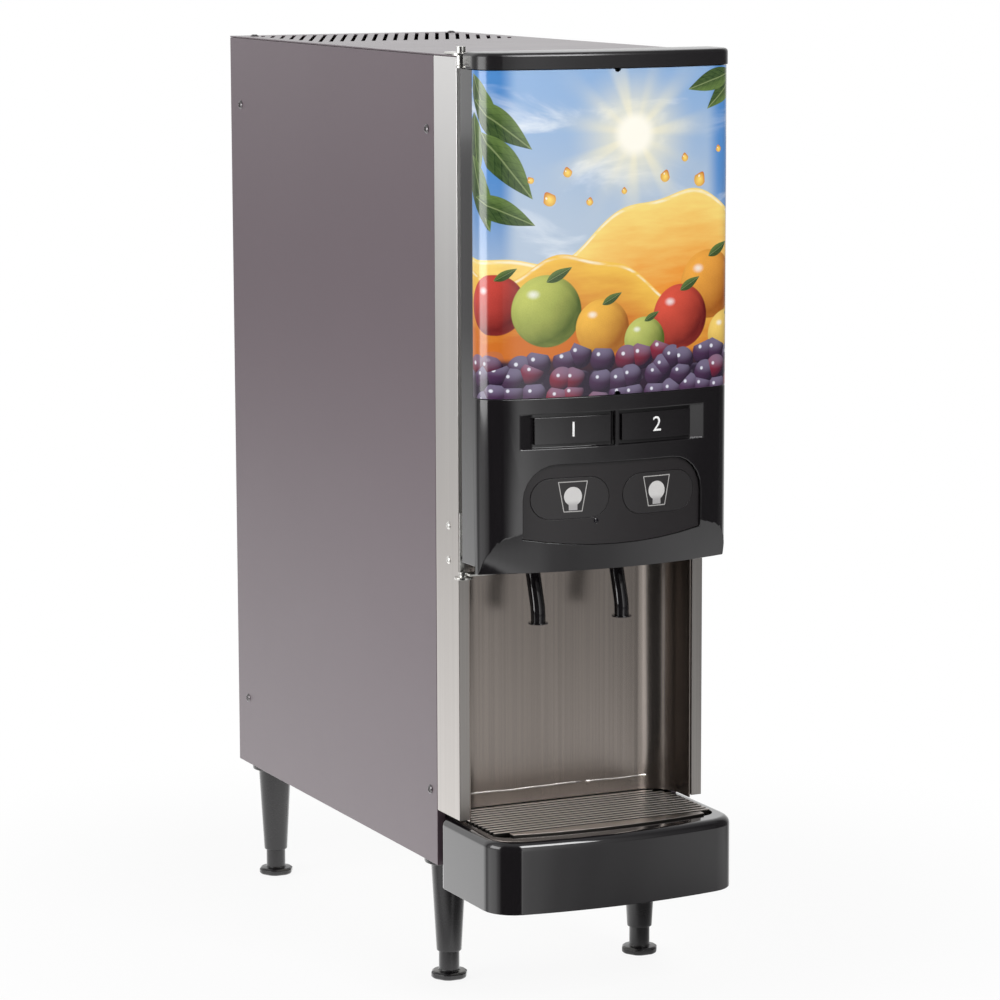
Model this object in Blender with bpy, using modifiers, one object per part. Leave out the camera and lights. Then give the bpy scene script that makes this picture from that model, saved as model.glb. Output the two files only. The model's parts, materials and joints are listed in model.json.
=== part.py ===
"""Refrigerated two-flavour juice dispenser, built as separate solids in metres with +Z up.

The origin is on the surface that the feet stand on, in the middle of the width and the depth.
The door and its controls face -Y, and +X is to the right of someone who stands in front of it.
"""

import math

import bmesh
import bpy
from mathutils import Matrix, Vector

# Gaps and overruns
CLEAR = 0.0003          # gap that neighbouring pieces keep
RUNNING = 0.0004        # gap round a turning or sliding shaft
OVERRUN = 0.004         # how far a cutter runs past what it cuts
WELD = 0.00001          # distance at which doubled points merge
FLAT_ANGLE = math.radians(0.2)
SMOOTH_ANGLE = math.radians(35)

# Cabinet
CABINET_WIDTH = 0.236
CABINET_TOP_Z = 0.818
CABINET_FLOOR_Z = 0.110
PANEL_DEPTH = 0.4755
PANEL_SHEET = 0.0012
PANEL_FLANGE = 0.008
FRAME_DEPTH = 0.0469
FRAME_SHEET = 0.0015
FRAME_FACE = 0.010
FRAME_BOTTOM_Z = 0.160
COLD_OPENING_LOW_Z = 0.3955
FRAME_HEADER = 0.012
DECK_Z = 0.381

# Door
DOOR_GAP = 0.0068
DOOR_DEPTH = 0.0605
DOOR_CORNER = 0.022
DOOR_BOW = 0.0165         # how far the front swells beyond its two edges
DOOR_BOTTOM_Z = 0.382
GRAPHIC_LOW_Z = 0.5325
STILE_DROP = 0.0105        # top of the door's stiles below the cabinet's top
CAP_HEIGHT = 0.0137
CAP_PROUD = 0.001
CAP_ROUND = 0.003

# Drip tray
TRAY_STANDOFF = 0.004
TRAY_DEPTH = 0.1265
TRAY_BOTTOM_Z = 0.0915
TRAY_RIM_Z = 0.155
TRAY_CORNER = 0.029
TRAY_BOW = 0.0128


def bow_radius_of(half, swell):
    """Radius of the arc that swells by a height over a chord of twice the half width."""
    return (half ** 2 + swell ** 2) / (2 * swell)


# Places that follow from them
COLD_OPENING_HIGH_Z = CABINET_TOP_Z - FRAME_HEADER
STILE_TOP_Z = CABINET_TOP_Z - STILE_DROP
HALF_WIDTH = CABINET_WIDTH / 2
DOOR_BOW_RADIUS = bow_radius_of(HALF_WIDTH, DOOR_BOW)
OVERALL_DEPTH = PANEL_DEPTH + TRAY_STANDOFF + TRAY_DEPTH
BACK_Y = OVERALL_DEPTH / 2
PANEL_FRONT_Y = BACK_Y - PANEL_DEPTH
FRAME_REAR_Y = PANEL_FRONT_Y - CLEAR
FRAME_FRONT_Y = FRAME_REAR_Y - FRAME_DEPTH
FRAME_INNER_HALF = HALF_WIDTH - FRAME_FACE
DOOR_REAR_Y = FRAME_FRONT_Y - DOOR_GAP
DOOR_FRONT_Y = DOOR_REAR_Y - DOOR_DEPTH
TRAY_REAR_Y = PANEL_FRONT_Y - TRAY_STANDOFF
TRAY_FRONT_Y = TRAY_REAR_Y - TRAY_DEPTH
INNER_HALF = HALF_WIDTH - PANEL_SHEET - CLEAR
SIDES = {"left": -1, "right": 1}

# Door hinge axis
HINGE_INSET = 0.0015
HINGE_SETBACK = 0.0005
HINGE_X = -HALF_WIDTH + HINGE_INSET
HINGE_Y = DOOR_REAR_Y + HINGE_SETBACK

# Dispensing positions
NOZZLE_SPACING = 0.081
NOZZLE_X = NOZZLE_SPACING / 2


def clear_scene():
    for old in list(bpy.data.objects):
        bpy.data.objects.remove(old, do_unlink=True)


def new_collection(name):
    group = bpy.data.collections.new(name)
    bpy.context.scene.collection.children.link(group)
    return group


clear_scene()
PARTS = new_collection("refrigerated_juice_dispenser")
CUTTERS = new_collection("cutters")
FINISHES = {}


def finish(name, colour, roughness, metallic=0.0):
    """Principled material with the given colour, made once."""
    if name not in FINISHES:
        material = bpy.data.materials.new(name)
        material.use_nodes = True
        shader = material.node_tree.nodes["Principled BSDF"]
        shader.inputs["Base Color"].default_value = (*colour, 1.0)
        shader.inputs["Roughness"].default_value = roughness
        shader.inputs["Metallic"].default_value = metallic
        FINISHES[name] = material
    return FINISHES[name]


def grey_paint():
    return finish("grey_paint", (0.14, 0.12, 0.125), 0.45)


def stainless():
    return finish("stainless", (0.62, 0.59, 0.56), 0.32, 1.0)


def zinc():
    return finish("zinc_plate", (0.66, 0.66, 0.64), 0.35, 1.0)


def black_gloss():
    return finish("black_gloss_plastic", (0.022, 0.02, 0.022), 0.2)


def black_satin():
    return finish("black_satin_plastic", (0.03, 0.028, 0.03), 0.4)


def white_plastic():
    return finish("white_plastic", (0.78, 0.79, 0.78), 0.4)


def copper():
    return finish("copper_tube", (0.72, 0.38, 0.24), 0.35, 1.0)


def dark_metal():
    return finish("dark_metal", (0.05, 0.05, 0.055), 0.4, 0.6)


def keep(obj, mesh_finish, parent=None):
    """Put a finished piece in the parts collection, under its joint's empty if it has one."""
    obj.data.materials.clear()
    obj.data.materials.append(mesh_finish)
    if parent is not None:
        obj.parent = parent
        obj.matrix_parent_inverse = Matrix.Translation(parent.location).inverted()
    return obj


def link(name, mesh, location=(0, 0, 0)):
    obj = bpy.data.objects.new(name, mesh)
    obj.location = location
    PARTS.objects.link(obj)
    return obj


def from_bmesh(name, work, location=(0, 0, 0)):
    mesh = bpy.data.meshes.new(name)
    work.to_mesh(mesh)
    work.free()
    return link(name, mesh, location)


def box(name, low, high):
    """Box between two opposite corners, with its origin in its middle."""
    low, high = Vector(low), Vector(high)
    work = bmesh.new()
    bmesh.ops.create_cube(work, size=1)
    bmesh.ops.scale(work, vec=high - low, verts=work.verts)
    return from_bmesh(name, work, (low + high) / 2)


def boxes(name, corner_pairs):
    """Several boxes that stay apart, in one object."""
    work = bmesh.new()
    for low, high in corner_pairs:
        low, high = Vector(low), Vector(high)
        made = bmesh.ops.create_cube(work, size=1)["verts"]
        bmesh.ops.scale(work, vec=high - low, verts=made)
        bmesh.ops.translate(work, vec=(low + high) / 2, verts=made)
    return from_bmesh(name, work)


TURN = {
    "X": Matrix.Rotation(math.pi / 2, 4, "Y"),
    "Y": Matrix.Rotation(-math.pi / 2, 4, "X"),
    "Z": Matrix.Identity(4),
}


def cylinder(name, start, length, radius, axis="Z", end_radius=None, segments=24):
    """Cylinder or cone that runs from start along +axis."""
    work = bmesh.new()
    bmesh.ops.create_cone(
        work, cap_ends=True, segments=segments, radius1=radius,
        radius2=radius if end_radius is None else end_radius, depth=length)
    bmesh.ops.translate(work, vec=(0, 0, length / 2), verts=work.verts)
    bmesh.ops.transform(work, matrix=TURN[axis], verts=work.verts)
    return from_bmesh(name, work, start)


def shade_round(obj):
    obj.data.shade_smooth()
    obj.data.set_sharp_from_angle(angle=SMOOTH_ANGLE)
    return obj


def turned(name, profile, location, steps=20, closed=False):
    """Profile of (radius, height) points, outer side from top to bottom, turned about Z."""
    mesh = bpy.data.meshes.new(name)
    count = len(profile)
    edges = [(i, i + 1) for i in range(count - 1)]
    if closed:
        edges.append((count - 1, 0))
    mesh.from_pydata([(radius, 0, height) for radius, height in profile], edges, [])
    obj = link(name, mesh, location)
    screw = obj.modifiers.new("turn", "SCREW")
    screw.steps = steps
    screw.render_steps = steps
    screw.use_merge_vertices = True
    screw.merge_threshold = WELD
    return obj


def as_mesh(name, curve_object):
    """Welded mesh object in place of a curve object, at the curve's place."""
    bpy.context.view_layer.update()
    graph = bpy.context.evaluated_depsgraph_get()
    mesh = bpy.data.meshes.new_from_object(curve_object.evaluated_get(graph))
    work = bmesh.new()
    work.from_mesh(mesh)
    bmesh.ops.remove_doubles(work, verts=work.verts, dist=WELD)
    bmesh.ops.dissolve_limit(work, angle_limit=FLAT_ANGLE, verts=work.verts, edges=work.edges)
    bmesh.ops.recalc_face_normals(work, faces=work.faces)
    work.to_mesh(mesh)
    work.free()
    mesh.name = name
    place = curve_object.matrix_world.copy()
    bpy.data.objects.remove(curve_object, do_unlink=True)
    obj = link(name, mesh)
    obj.matrix_world = place
    return obj


OUTLINE_PLANE = {
    "Z": Matrix.Identity(4),
    "Y": Matrix.Rotation(math.pi / 2, 4, "X"),
    "X": Matrix(((0, 0, 1, 0), (1, 0, 0, 0), (0, 1, 0, 0), (0, 0, 0, 1))),
}


def outline_solid(name, points, start, end, across="Z"):
    """Flat outline that fills the space from start to end along one axis.

    Points are (x, y) across Z, (x, z) across Y and (y, z) across X.
    """
    curve = bpy.data.curves.new(name, "CURVE")
    curve.dimensions = "2D"
    curve.fill_mode = "BOTH"
    curve.extrude = (end - start) / 2
    spline = curve.splines.new("POLY")
    spline.points.add(len(points) - 1)
    for point, (u, v) in zip(spline.points, points):
        point.co = (u, v, 0, 1)
    spline.use_cyclic_u = True
    flat = bpy.data.objects.new(name + "_outline", curve)
    PARTS.objects.link(flat)
    obj = as_mesh(name, flat)
    obj.data.transform(OUTLINE_PLANE[across])
    middle = (start + end) / 2
    obj.location = {"Z": (0, 0, middle), "Y": (0, middle, 0), "X": (middle, 0, 0)}[across]
    return obj


def tube(name, points, radius, resolution=2):
    """Round bar or pipe along points, with closed ends."""
    curve = bpy.data.curves.new(name, "CURVE")
    curve.dimensions = "3D"
    curve.bevel_depth = radius
    curve.bevel_resolution = resolution
    curve.use_fill_caps = True
    spline = curve.splines.new("POLY")
    spline.points.add(len(points) - 1)
    for point, place in zip(spline.points, points):
        point.co = (*place, 1)
    wire = bpy.data.objects.new(name + "_path", curve)
    PARTS.objects.link(wire)
    return as_mesh(name, wire)


def combine(target, tool, operation):
    """Boolean of two solids; the tool becomes a hidden cutter."""
    change = target.modifiers.new(operation.lower(), "BOOLEAN")
    change.operation = operation
    change.object = tool
    tool.hide_render = True
    tool.display_type = "WIRE"
    for group in list(tool.users_collection):
        group.objects.unlink(tool)
    CUTTERS.objects.link(tool)
    return target


def cut(target, *tools):
    for tool in tools:
        combine(target, tool, "DIFFERENCE")
    return target


def join(target, *tools):
    for tool in tools:
        combine(target, tool, "UNION")
    return target


def arc(centre_u, centre_v, radius, start, end, steps):
    """Points on an arc, angles in degrees, both ends included."""
    return [
        (centre_u + radius * math.cos(math.radians(start + (end - start) * i / steps)),
         centre_v + radius * math.sin(math.radians(start + (end - start) * i / steps)))
        for i in range(steps + 1)]


def soft_topped(name, plan, low, high, radius, steps=3):
    """Outline solid whose upper edges are rounded and whose underside stays sharp."""
    foot = low - 2 * radius
    solid = outline_solid(name, plan, foot, high)
    soften = solid.modifiers.new("round_top", "BEVEL")
    soften.width = radius
    soften.segments = steps
    soften.limit_method = "ANGLE"
    soften.angle_limit = math.radians(60)
    reach_x = max(x for x, y in plan) + OVERRUN
    low_y = min(y for x, y in plan) - OVERRUN
    high_y = max(y for x, y in plan) + OVERRUN
    cut(solid, box(name + "_trim", (-reach_x, low_y, foot - OVERRUN), (reach_x, high_y, low)))
    return solid


def bow_y(x, front_y, bow_radius):
    """Y of a front that bows towards -Y about the middle of the width."""
    return front_y + bow_radius - math.sqrt(bow_radius ** 2 - x ** 2)


def bowed_outline(half, rear_y, front_y, bow_radius, corner, corner_steps=6, bow_steps=11):
    """Plan with straight sides, round front corners and a bowed front.

    Each corner arc touches the side and, from inside, the large arc of the front.
    """
    corner_x = half - corner
    centre_y = front_y + bow_radius
    corner_y = centre_y - math.sqrt((bow_radius - corner) ** 2 - corner_x ** 2)
    tangent = math.degrees(math.atan2(corner_y - centre_y, corner_x))
    right = arc(corner_x, corner_y, corner, 0, tangent, corner_steps)
    front = arc(0, centre_y, bow_radius, tangent, -180 - tangent, bow_steps)
    left = [(-x, y) for x, y in reversed(right)]
    return [(half, rear_y), *right, *front[1:-1], *left, (-half, rear_y)]


def bowed_strip(half, outer_y, inner_y, bow_radius, steps=12):
    """Plan of a bowed sheet between two like arcs, open at neither end."""
    xs = [half * (2 * i / steps - 1) for i in range(steps + 1)]
    outer = [(x, bow_y(x, outer_y, bow_radius)) for x in xs]
    inner = [(x, bow_y(x, inner_y, bow_radius)) for x in reversed(xs)]
    return outer + inner


def rounded_rectangle(centre_u, centre_v, half_u, half_v, corner, steps=4):
    """Outline with four round corners; a corner of half the height makes a stadium."""
    points = []
    for quarter, (u, v) in enumerate(((1, 1), (-1, 1), (-1, -1), (1, -1))):
        points += arc(centre_u + u * (half_u - corner), centre_v + v * (half_v - corner),
                      corner, 90 * quarter, 90 * quarter + 90, steps)
    return points


def pivot(name, location):
    """Empty on a joint's axis that carries the pieces of one moving body."""
    empty = bpy.data.objects.new(name, None)
    empty.location = location
    empty.empty_display_size = HINGE_EAR
    PARTS.objects.link(empty)
    return empty


# Base pan, with the two rails that the drip tray slides on
PAN_SHEET = 0.0015
PAN_WALL_HEIGHT = 0.040
TRAY_TUCK = 0.0085       # how far the tray reaches back under the splash panel
TRAY_TUCK_GAP = 0.002
REAR_SHEET = 0.0012
RAIL_X = 0.060
RAIL_WIDTH = 0.024
RAIL_LENGTH = 0.100
REAR_FACE_Y = BACK_Y - PANEL_SHEET - CLEAR
REAR_INSIDE_Y = REAR_FACE_Y - REAR_SHEET
PAN_REAR_Y = REAR_INSIDE_Y - CLEAR
PAN_FRONT_Y = PANEL_FRONT_Y + PANEL_SHEET + CLEAR
PAN_WALL_Y = PANEL_FRONT_Y + TRAY_TUCK + TRAY_TUCK_GAP
PAN_TOP_Z = CABINET_FLOOR_Z + PAN_SHEET
PAN_SEAT_Z = PAN_TOP_Z + CLEAR

VALVE_INSET = 0.0715
VALVE_WIDTH = 0.030
VALVE_DEPTH = 0.030
VALVE_HEIGHT = 0.036
VALVE_BACKSET = 0.008
VALVE_COIL_RADIUS = 0.010
VALVE_COIL_HEIGHT = 0.026
INLET_RADIUS = 0.0065
INLET_FLARE_RADIUS = 0.0075
INLET_DROP = 0.018
INLET_FLARE = 0.004
VALVE_X = VALVE_INSET - INNER_HALF
VALVE_Y = PAN_REAR_Y - VALVE_BACKSET - VALVE_DEPTH / 2


def base_pan():
    pan = box("base_pan", (-INNER_HALF, PAN_FRONT_Y, CABINET_FLOOR_Z),
              (INNER_HALF, PAN_REAR_Y, PAN_TOP_Z))
    wall = box("pan_wall", (-INNER_HALF, PAN_WALL_Y, CABINET_FLOOR_Z),
               (INNER_HALF, PAN_REAR_Y, CABINET_FLOOR_Z + PAN_WALL_HEIGHT))
    hollow = box("pan_hollow",
                 (-INNER_HALF + PAN_SHEET, PAN_WALL_Y + PAN_SHEET, PAN_TOP_Z),
                 (INNER_HALF - PAN_SHEET, PAN_REAR_Y - PAN_SHEET,
                  CABINET_FLOOR_Z + PAN_WALL_HEIGHT + OVERRUN))
    join(pan, wall)
    cut(pan, hollow)
    for side, sign in SIDES.items():
        join(pan, box("pan_rail_" + side,
                      (sign * RAIL_X - RAIL_WIDTH / 2, PAN_FRONT_Y - RAIL_LENGTH, CABINET_FLOOR_Z),
                      (sign * RAIL_X + RAIL_WIDTH / 2, PAN_FRONT_Y + OVERRUN, PAN_TOP_Z)))
    cut(pan, cylinder("pan_inlet_hole", (VALVE_X, VALVE_Y, CABINET_FLOOR_Z - OVERRUN),
                      PAN_SHEET + 2 * OVERRUN, INLET_FLARE_RADIUS + CLEAR))
    keep(pan, zinc())


# Side panels, folded inwards at the front and at the rear
COVER_SHEET = 0.0012
PANEL_TOP_Z = CABINET_TOP_Z - COVER_SHEET - CLEAR


def side_panels():
    for side, sign in SIDES.items():
        outer = sign * HALF_WIDTH
        inner = sign * (HALF_WIDTH - PANEL_SHEET)
        fold = sign * (HALF_WIDTH - PANEL_FLANGE)
        plan = [(outer, PANEL_FRONT_Y), (outer, BACK_Y), (fold, BACK_Y),
                (fold, BACK_Y - PANEL_SHEET), (inner, BACK_Y - PANEL_SHEET),
                (inner, PANEL_FRONT_Y + PANEL_SHEET), (fold, PANEL_FRONT_Y + PANEL_SHEET),
                (fold, PANEL_FRONT_Y)]
        panel = outline_solid(side + "_side_panel", plan, CABINET_FLOOR_Z, PANEL_TOP_Z)
        keep(panel, grey_paint())


# Top cover, with a band of slanting vent slots at the rear
SLOT_PITCH = 0.0107
SLOT_MARGIN = 0.013
SLOT_WIDTH = 0.0038
SLOT_REACH = 0.165           # depth of the band of slots
SLOT_SHORTEST = 0.015
SLOT_BACKSET = 0.022
SLOT_SLANT_SHARE = 0.45      # how far a slot runs to the right for each unit to the rear
SLOT_RUN = SLOT_SLANT_SHARE * SLOT_REACH
SLOT_COUNT = int((CABINET_WIDTH - 2 * SLOT_MARGIN + SLOT_RUN) / SLOT_PITCH)


def top_cover():
    cover = box("top_cover", (-HALF_WIDTH, FRAME_FRONT_Y, CABINET_TOP_Z - COVER_SHEET),
                (HALF_WIDTH, BACK_Y, CABINET_TOP_Z))
    half = HALF_WIDTH - SLOT_MARGIN
    front_y = BACK_Y - SLOT_BACKSET - SLOT_REACH
    slots = []
    for i in range(SLOT_COUNT):
        x = -half - SLOT_RUN + (i + 1) * SLOT_PITCH
        start = front_y + max(0, (-half - x) / SLOT_SLANT_SHARE)
        end = front_y + min(SLOT_REACH, (half - SLOT_WIDTH - x) / SLOT_SLANT_SHARE)
        if end - start > SLOT_SHORTEST:
            slots.append(((x, start, CABINET_TOP_Z - COVER_SHEET - OVERRUN),
                          (x + SLOT_WIDTH, end, CABINET_TOP_Z + OVERRUN)))
    tool = boxes("vent_slots", slots)
    slant = Matrix.Identity(4)
    slant[0][1] = SLOT_SLANT_SHARE
    slant[0][3] = -SLOT_SLANT_SHARE * front_y
    tool.data.transform(slant)
    cut(cover, tool)
    keep(cover, grey_paint())


# Rear panel, with louvre slots behind the condenser and a hole for the power inlet
LOUVRE_COUNT = 12
LOUVRE_PITCH = 0.020
LOUVRE_HEIGHT = 0.006
LOUVRE_HALF_LENGTH = 0.075
LOUVRE_RISE = 0.020      # lowest louvre above the component shelf
ENTRY_INSET = 0.0665
ENTRY_Z = 0.215
ENTRY_WIDTH = 0.060
ENTRY_HEIGHT = 0.028
ENTRY_FLANGE = 0.004
ENTRY_DEPTH = 0.030
SHELF_SHEET = 0.0015
SHELF_TOP_Z = 0.3735
ENTRY_X = INNER_HALF - ENTRY_INSET


def rear_panel():
    panel = box("rear_panel", (-INNER_HALF, REAR_INSIDE_Y, CABINET_FLOOR_Z),
                (INNER_HALF, REAR_FACE_Y, PANEL_TOP_Z))
    louvres = []
    for i in range(LOUVRE_COUNT):
        z = SHELF_TOP_Z + LOUVRE_RISE + i * LOUVRE_PITCH
        louvres.append(((-LOUVRE_HALF_LENGTH, REAR_INSIDE_Y - OVERRUN, z),
                        (LOUVRE_HALF_LENGTH, REAR_FACE_Y + OVERRUN, z + LOUVRE_HEIGHT)))
    cut(panel, boxes("louvres", louvres))
    cut(panel, box("entry_hole",
                   (ENTRY_X - ENTRY_WIDTH / 2 - CLEAR, REAR_INSIDE_Y - OVERRUN,
                    ENTRY_Z - ENTRY_HEIGHT / 2 - CLEAR),
                   (ENTRY_X + ENTRY_WIDTH / 2 + CLEAR, REAR_FACE_Y + OVERRUN,
                    ENTRY_Z + ENTRY_HEIGHT / 2 + CLEAR)))
    keep(panel, grey_paint())


# Nozzles: their line down from the pumps, leaning forward and then upright
NOZZLE_RADIUS = 0.0065
NOZZLE_BORE = 0.0045
NOZZLE_BORE_DEPTH = 0.012
NOZZLE_TIP_Z = 0.3265
NOZZLE_UPRIGHT = 0.012
NOZZLE_BEND = 0.007
NOZZLE_TIP_BACKSET = 0.0047     # tip behind the front of the frame
NOZZLE_LEAN_SHARE = 0.33        # forward reach for each unit of drop
NOZZLE_FLANGE_RADIUS = 0.0088
NOZZLE_FLANGE_HEIGHT = 0.0013
LINER_FLANGE = 0.0077
LINER_WALL = 0.002
LINER_LOW_Z = COLD_OPENING_LOW_Z + CLEAR + LINER_FLANGE
LINER_FLOOR_Z = LINER_LOW_Z + LINER_WALL
NOZZLE_TIP_Y = FRAME_FRONT_Y + NOZZLE_TIP_BACKSET
NOZZLE_BEND_Z = NOZZLE_TIP_Z + NOZZLE_UPRIGHT
NOZZLE_TOP_Z = LINER_FLOOR_Z - NOZZLE_LEAN_SHARE * NOZZLE_RADIUS


def nozzle_y(z):
    """Middle of the nozzle's leaning part at a height."""
    return NOZZLE_TIP_Y + NOZZLE_LEAN_SHARE * (z - NOZZLE_BEND_Z)


def nozzle_path(x):
    """Straight lean, a parabolic bend that is upright at its end, and the tip."""
    points = [(x, nozzle_y(NOZZLE_TOP_Z), NOZZLE_TOP_Z)]
    steps = 4
    for i in range(steps + 1):
        left = 1 - i / steps
        points.append((x, NOZZLE_TIP_Y + NOZZLE_LEAN_SHARE * NOZZLE_BEND * left ** 2,
                       NOZZLE_BEND_Z + NOZZLE_BEND * (2 * left - 1)))
    points.append((x, NOZZLE_TIP_Y, NOZZLE_TIP_Z))
    return points


def nozzle_hole(name, x):
    """Cutter along the leaning part of a nozzle, for what it passes through."""
    ends = [(x, nozzle_y(z), z) for z in (DECK_Z - OVERRUN, LINER_FLOOR_Z + OVERRUN)]
    return tube(name, ends, NOZZLE_RADIUS + RUNNING + CLEAR, resolution=4)


def nozzles():
    for side, sign in SIDES.items():
        x = sign * NOZZLE_X
        nozzle = tube("nozzle_" + side, nozzle_path(x), NOZZLE_RADIUS, resolution=4)
        join(nozzle, cylinder("nozzle_rim_" + side, (x, NOZZLE_TIP_Y, NOZZLE_TIP_Z),
                              NOZZLE_FLANGE_HEIGHT, NOZZLE_FLANGE_RADIUS, segments=20))
        cut(nozzle, cylinder("nozzle_bore_" + side, (x, NOZZLE_TIP_Y, NOZZLE_TIP_Z - OVERRUN),
                             NOZZLE_BORE_DEPTH + OVERRUN, NOZZLE_BORE, segments=12))
        keep(nozzle, black_gloss())


# Front frame: two folded uprights, a header and the deck that the nozzles pass
def front_frame():
    frame = box("front_frame", (-HALF_WIDTH, FRAME_FRONT_Y, FRAME_BOTTOM_Z),
                (HALF_WIDTH, FRAME_REAR_Y, PANEL_TOP_Z))
    skin = FRAME_SHEET
    inside = HALF_WIDTH - skin
    throat = FRAME_INNER_HALF + skin
    for side, sign in SIDES.items():
        low_x, high_x = sorted((sign * throat, sign * inside))
        cut(frame, box("frame_channel_" + side,
                       (low_x, FRAME_FRONT_Y + skin, FRAME_BOTTOM_Z - OVERRUN),
                       (high_x, FRAME_REAR_Y + OVERRUN, PANEL_TOP_Z - skin)))
    cut(frame, box("frame_header_hollow",
                   (-throat - OVERRUN, FRAME_FRONT_Y + skin, COLD_OPENING_HIGH_Z + skin),
                   (throat + OVERRUN, FRAME_REAR_Y + OVERRUN, PANEL_TOP_Z - skin)))
    window_low = COLD_OPENING_LOW_Z
    cut(frame,
        box("frame_window", (-FRAME_INNER_HALF, FRAME_FRONT_Y - OVERRUN, window_low),
            (FRAME_INNER_HALF, FRAME_REAR_Y + OVERRUN, COLD_OPENING_HIGH_Z)),
        box("frame_bay", (-FRAME_INNER_HALF, FRAME_FRONT_Y - OVERRUN, FRAME_BOTTOM_Z - OVERRUN),
            (FRAME_INNER_HALF, FRAME_REAR_Y + OVERRUN, DECK_Z)),
        box("frame_deck_hollow", (-FRAME_INNER_HALF, FRAME_FRONT_Y + skin, DECK_Z + skin),
            (FRAME_INNER_HALF, FRAME_REAR_Y + OVERRUN, window_low + OVERRUN)))
    for side, sign in SIDES.items():
        cut(frame, nozzle_hole("deck_hole_" + side, sign * NOZZLE_X))
    keep(frame, stainless())


# Splash panel: one sheet, round at its two rear corners, with a drip lip at its foot
SPLASH_SHEET = 0.0012
SPLASH_SETBACK = 0.0035       # face of the splash panel behind the front of the side panels
SPLASH_CORNER = 0.027
SPLASH_BEND_Z = 0.174
SPLASH_FOOT_Z = 0.1578
SPLASH_LIP = 0.0012
SPLASH_FRONT_INSET = 0.0017
SPLASH_FACE_Y = PANEL_FRONT_Y + SPLASH_SETBACK
SPLASH_HALF = FRAME_INNER_HALF - CLEAR - SPLASH_SHEET


def splash_plan(forward, outward):
    """Plan of the sheet from one front edge round the back to the other."""
    half = SPLASH_HALF + outward
    rear = SPLASH_FACE_Y + outward - forward
    corner = SPLASH_CORNER + outward
    front = FRAME_FRONT_Y + SPLASH_FRONT_INSET
    left = arc(-half + corner, rear - corner, corner, 180, 90, 6)
    right = arc(half - corner, rear - corner, corner, 90, 0, 6)
    return [(-half, front), *left, *right, (half, front)]


def splash_panel():
    """Loft through three heights, so that the foot leans forward over the tray."""
    levels = ((DECK_Z - CLEAR, 0), (SPLASH_BEND_Z, 0), (SPLASH_FOOT_Z, SPLASH_LIP))
    rings = []
    for z, forward in levels:
        inner = splash_plan(forward, 0)
        outer = splash_plan(forward, SPLASH_SHEET)
        rings.append([(x, y, z) for x, y in inner + outer[::-1]])
    count = len(rings[0])
    work = bmesh.new()
    rows = [[work.verts.new(point) for point in ring] for ring in rings]
    for upper, lower in zip(rows, rows[1:]):
        for i in range(count):
            j = (i + 1) % count
            work.faces.new((upper[i], upper[j], lower[j], lower[i]))
    half = count // 2
    for row in (rows[0], rows[-1]):
        for i in range(half - 1):
            work.faces.new((row[i], row[i + 1], row[count - 2 - i], row[count - 1 - i]))
    bmesh.ops.recalc_face_normals(work, faces=work.faces)
    keep(from_bmesh("splash_panel", work), stainless())


# Machine bay, from the rear panel forward to the foam
CONDENSER_BACKSET = 0.010
CONDENSER_DEPTH = 0.040
SHROUD_DEPTH = 0.045
HUB_SETBACK = 0.001
FAN_MOTOR_GAP = 0.006
FAN_MOTOR_LENGTH = 0.040
SUPPLY_GAP = 0.008
SUPPLY_DEPTH = 0.036
SUPPLY_FRONT_GAP = 0.01815
CONDENSER_REAR_Y = REAR_INSIDE_Y - CONDENSER_BACKSET
CONDENSER_FRONT_Y = CONDENSER_REAR_Y - CONDENSER_DEPTH
SHROUD_REAR_Y = CONDENSER_FRONT_Y - CLEAR
SHROUD_FRONT_Y = SHROUD_REAR_Y - SHROUD_DEPTH
HUB_FRONT_Y = SHROUD_FRONT_Y + HUB_SETBACK
MOTOR_FACE_Y = HUB_FRONT_Y - FAN_MOTOR_GAP
SUPPLY_REAR_Y = MOTOR_FACE_Y - FAN_MOTOR_LENGTH - SUPPLY_GAP
FOAM_REAR_Y = SUPPLY_REAR_Y - SUPPLY_DEPTH - SUPPLY_FRONT_GAP


# Cold compartment: liner, foam, the rack for the juice containers
LINER_LIP_SETBACK = 0.0005
LINER_LIP = 0.002
FOAM_BACK = 0.012
RACK_Z = 0.452
RACK_THICKNESS = 0.003
RACK_FRONT_INSET = 0.002
LINER_HALF = FRAME_INNER_HALF - CLEAR - LINER_FLANGE
LINER_HIGH_Z = COLD_OPENING_HIGH_Z - CLEAR - LINER_FLANGE
LIP_FRONT_Y = FRAME_FRONT_Y + LINER_LIP_SETBACK
LIP_REAR_Y = LIP_FRONT_Y + LINER_LIP
LINER_REAR_Y = FOAM_REAR_Y - FOAM_BACK


def cold_liner():
    liner = box("cold_liner", (-LINER_HALF, LIP_FRONT_Y, LINER_LOW_Z),
                (LINER_HALF, LINER_REAR_Y, LINER_HIGH_Z))
    join(liner, box("liner_lip",
                    (-LINER_HALF - LINER_FLANGE, LIP_FRONT_Y, LINER_LOW_Z - LINER_FLANGE),
                    (LINER_HALF + LINER_FLANGE, LIP_REAR_Y, LINER_HIGH_Z + LINER_FLANGE)))
    cut(liner, box("liner_hollow",
                   (-LINER_HALF + LINER_WALL, LIP_FRONT_Y - OVERRUN, LINER_FLOOR_Z),
                   (LINER_HALF - LINER_WALL, LINER_REAR_Y - LINER_WALL,
                    LINER_HIGH_Z - LINER_WALL)))
    for side, sign in SIDES.items():
        cut(liner, nozzle_hole("liner_hole_" + side, sign * NOZZLE_X))
    keep(liner, white_plastic())


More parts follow.
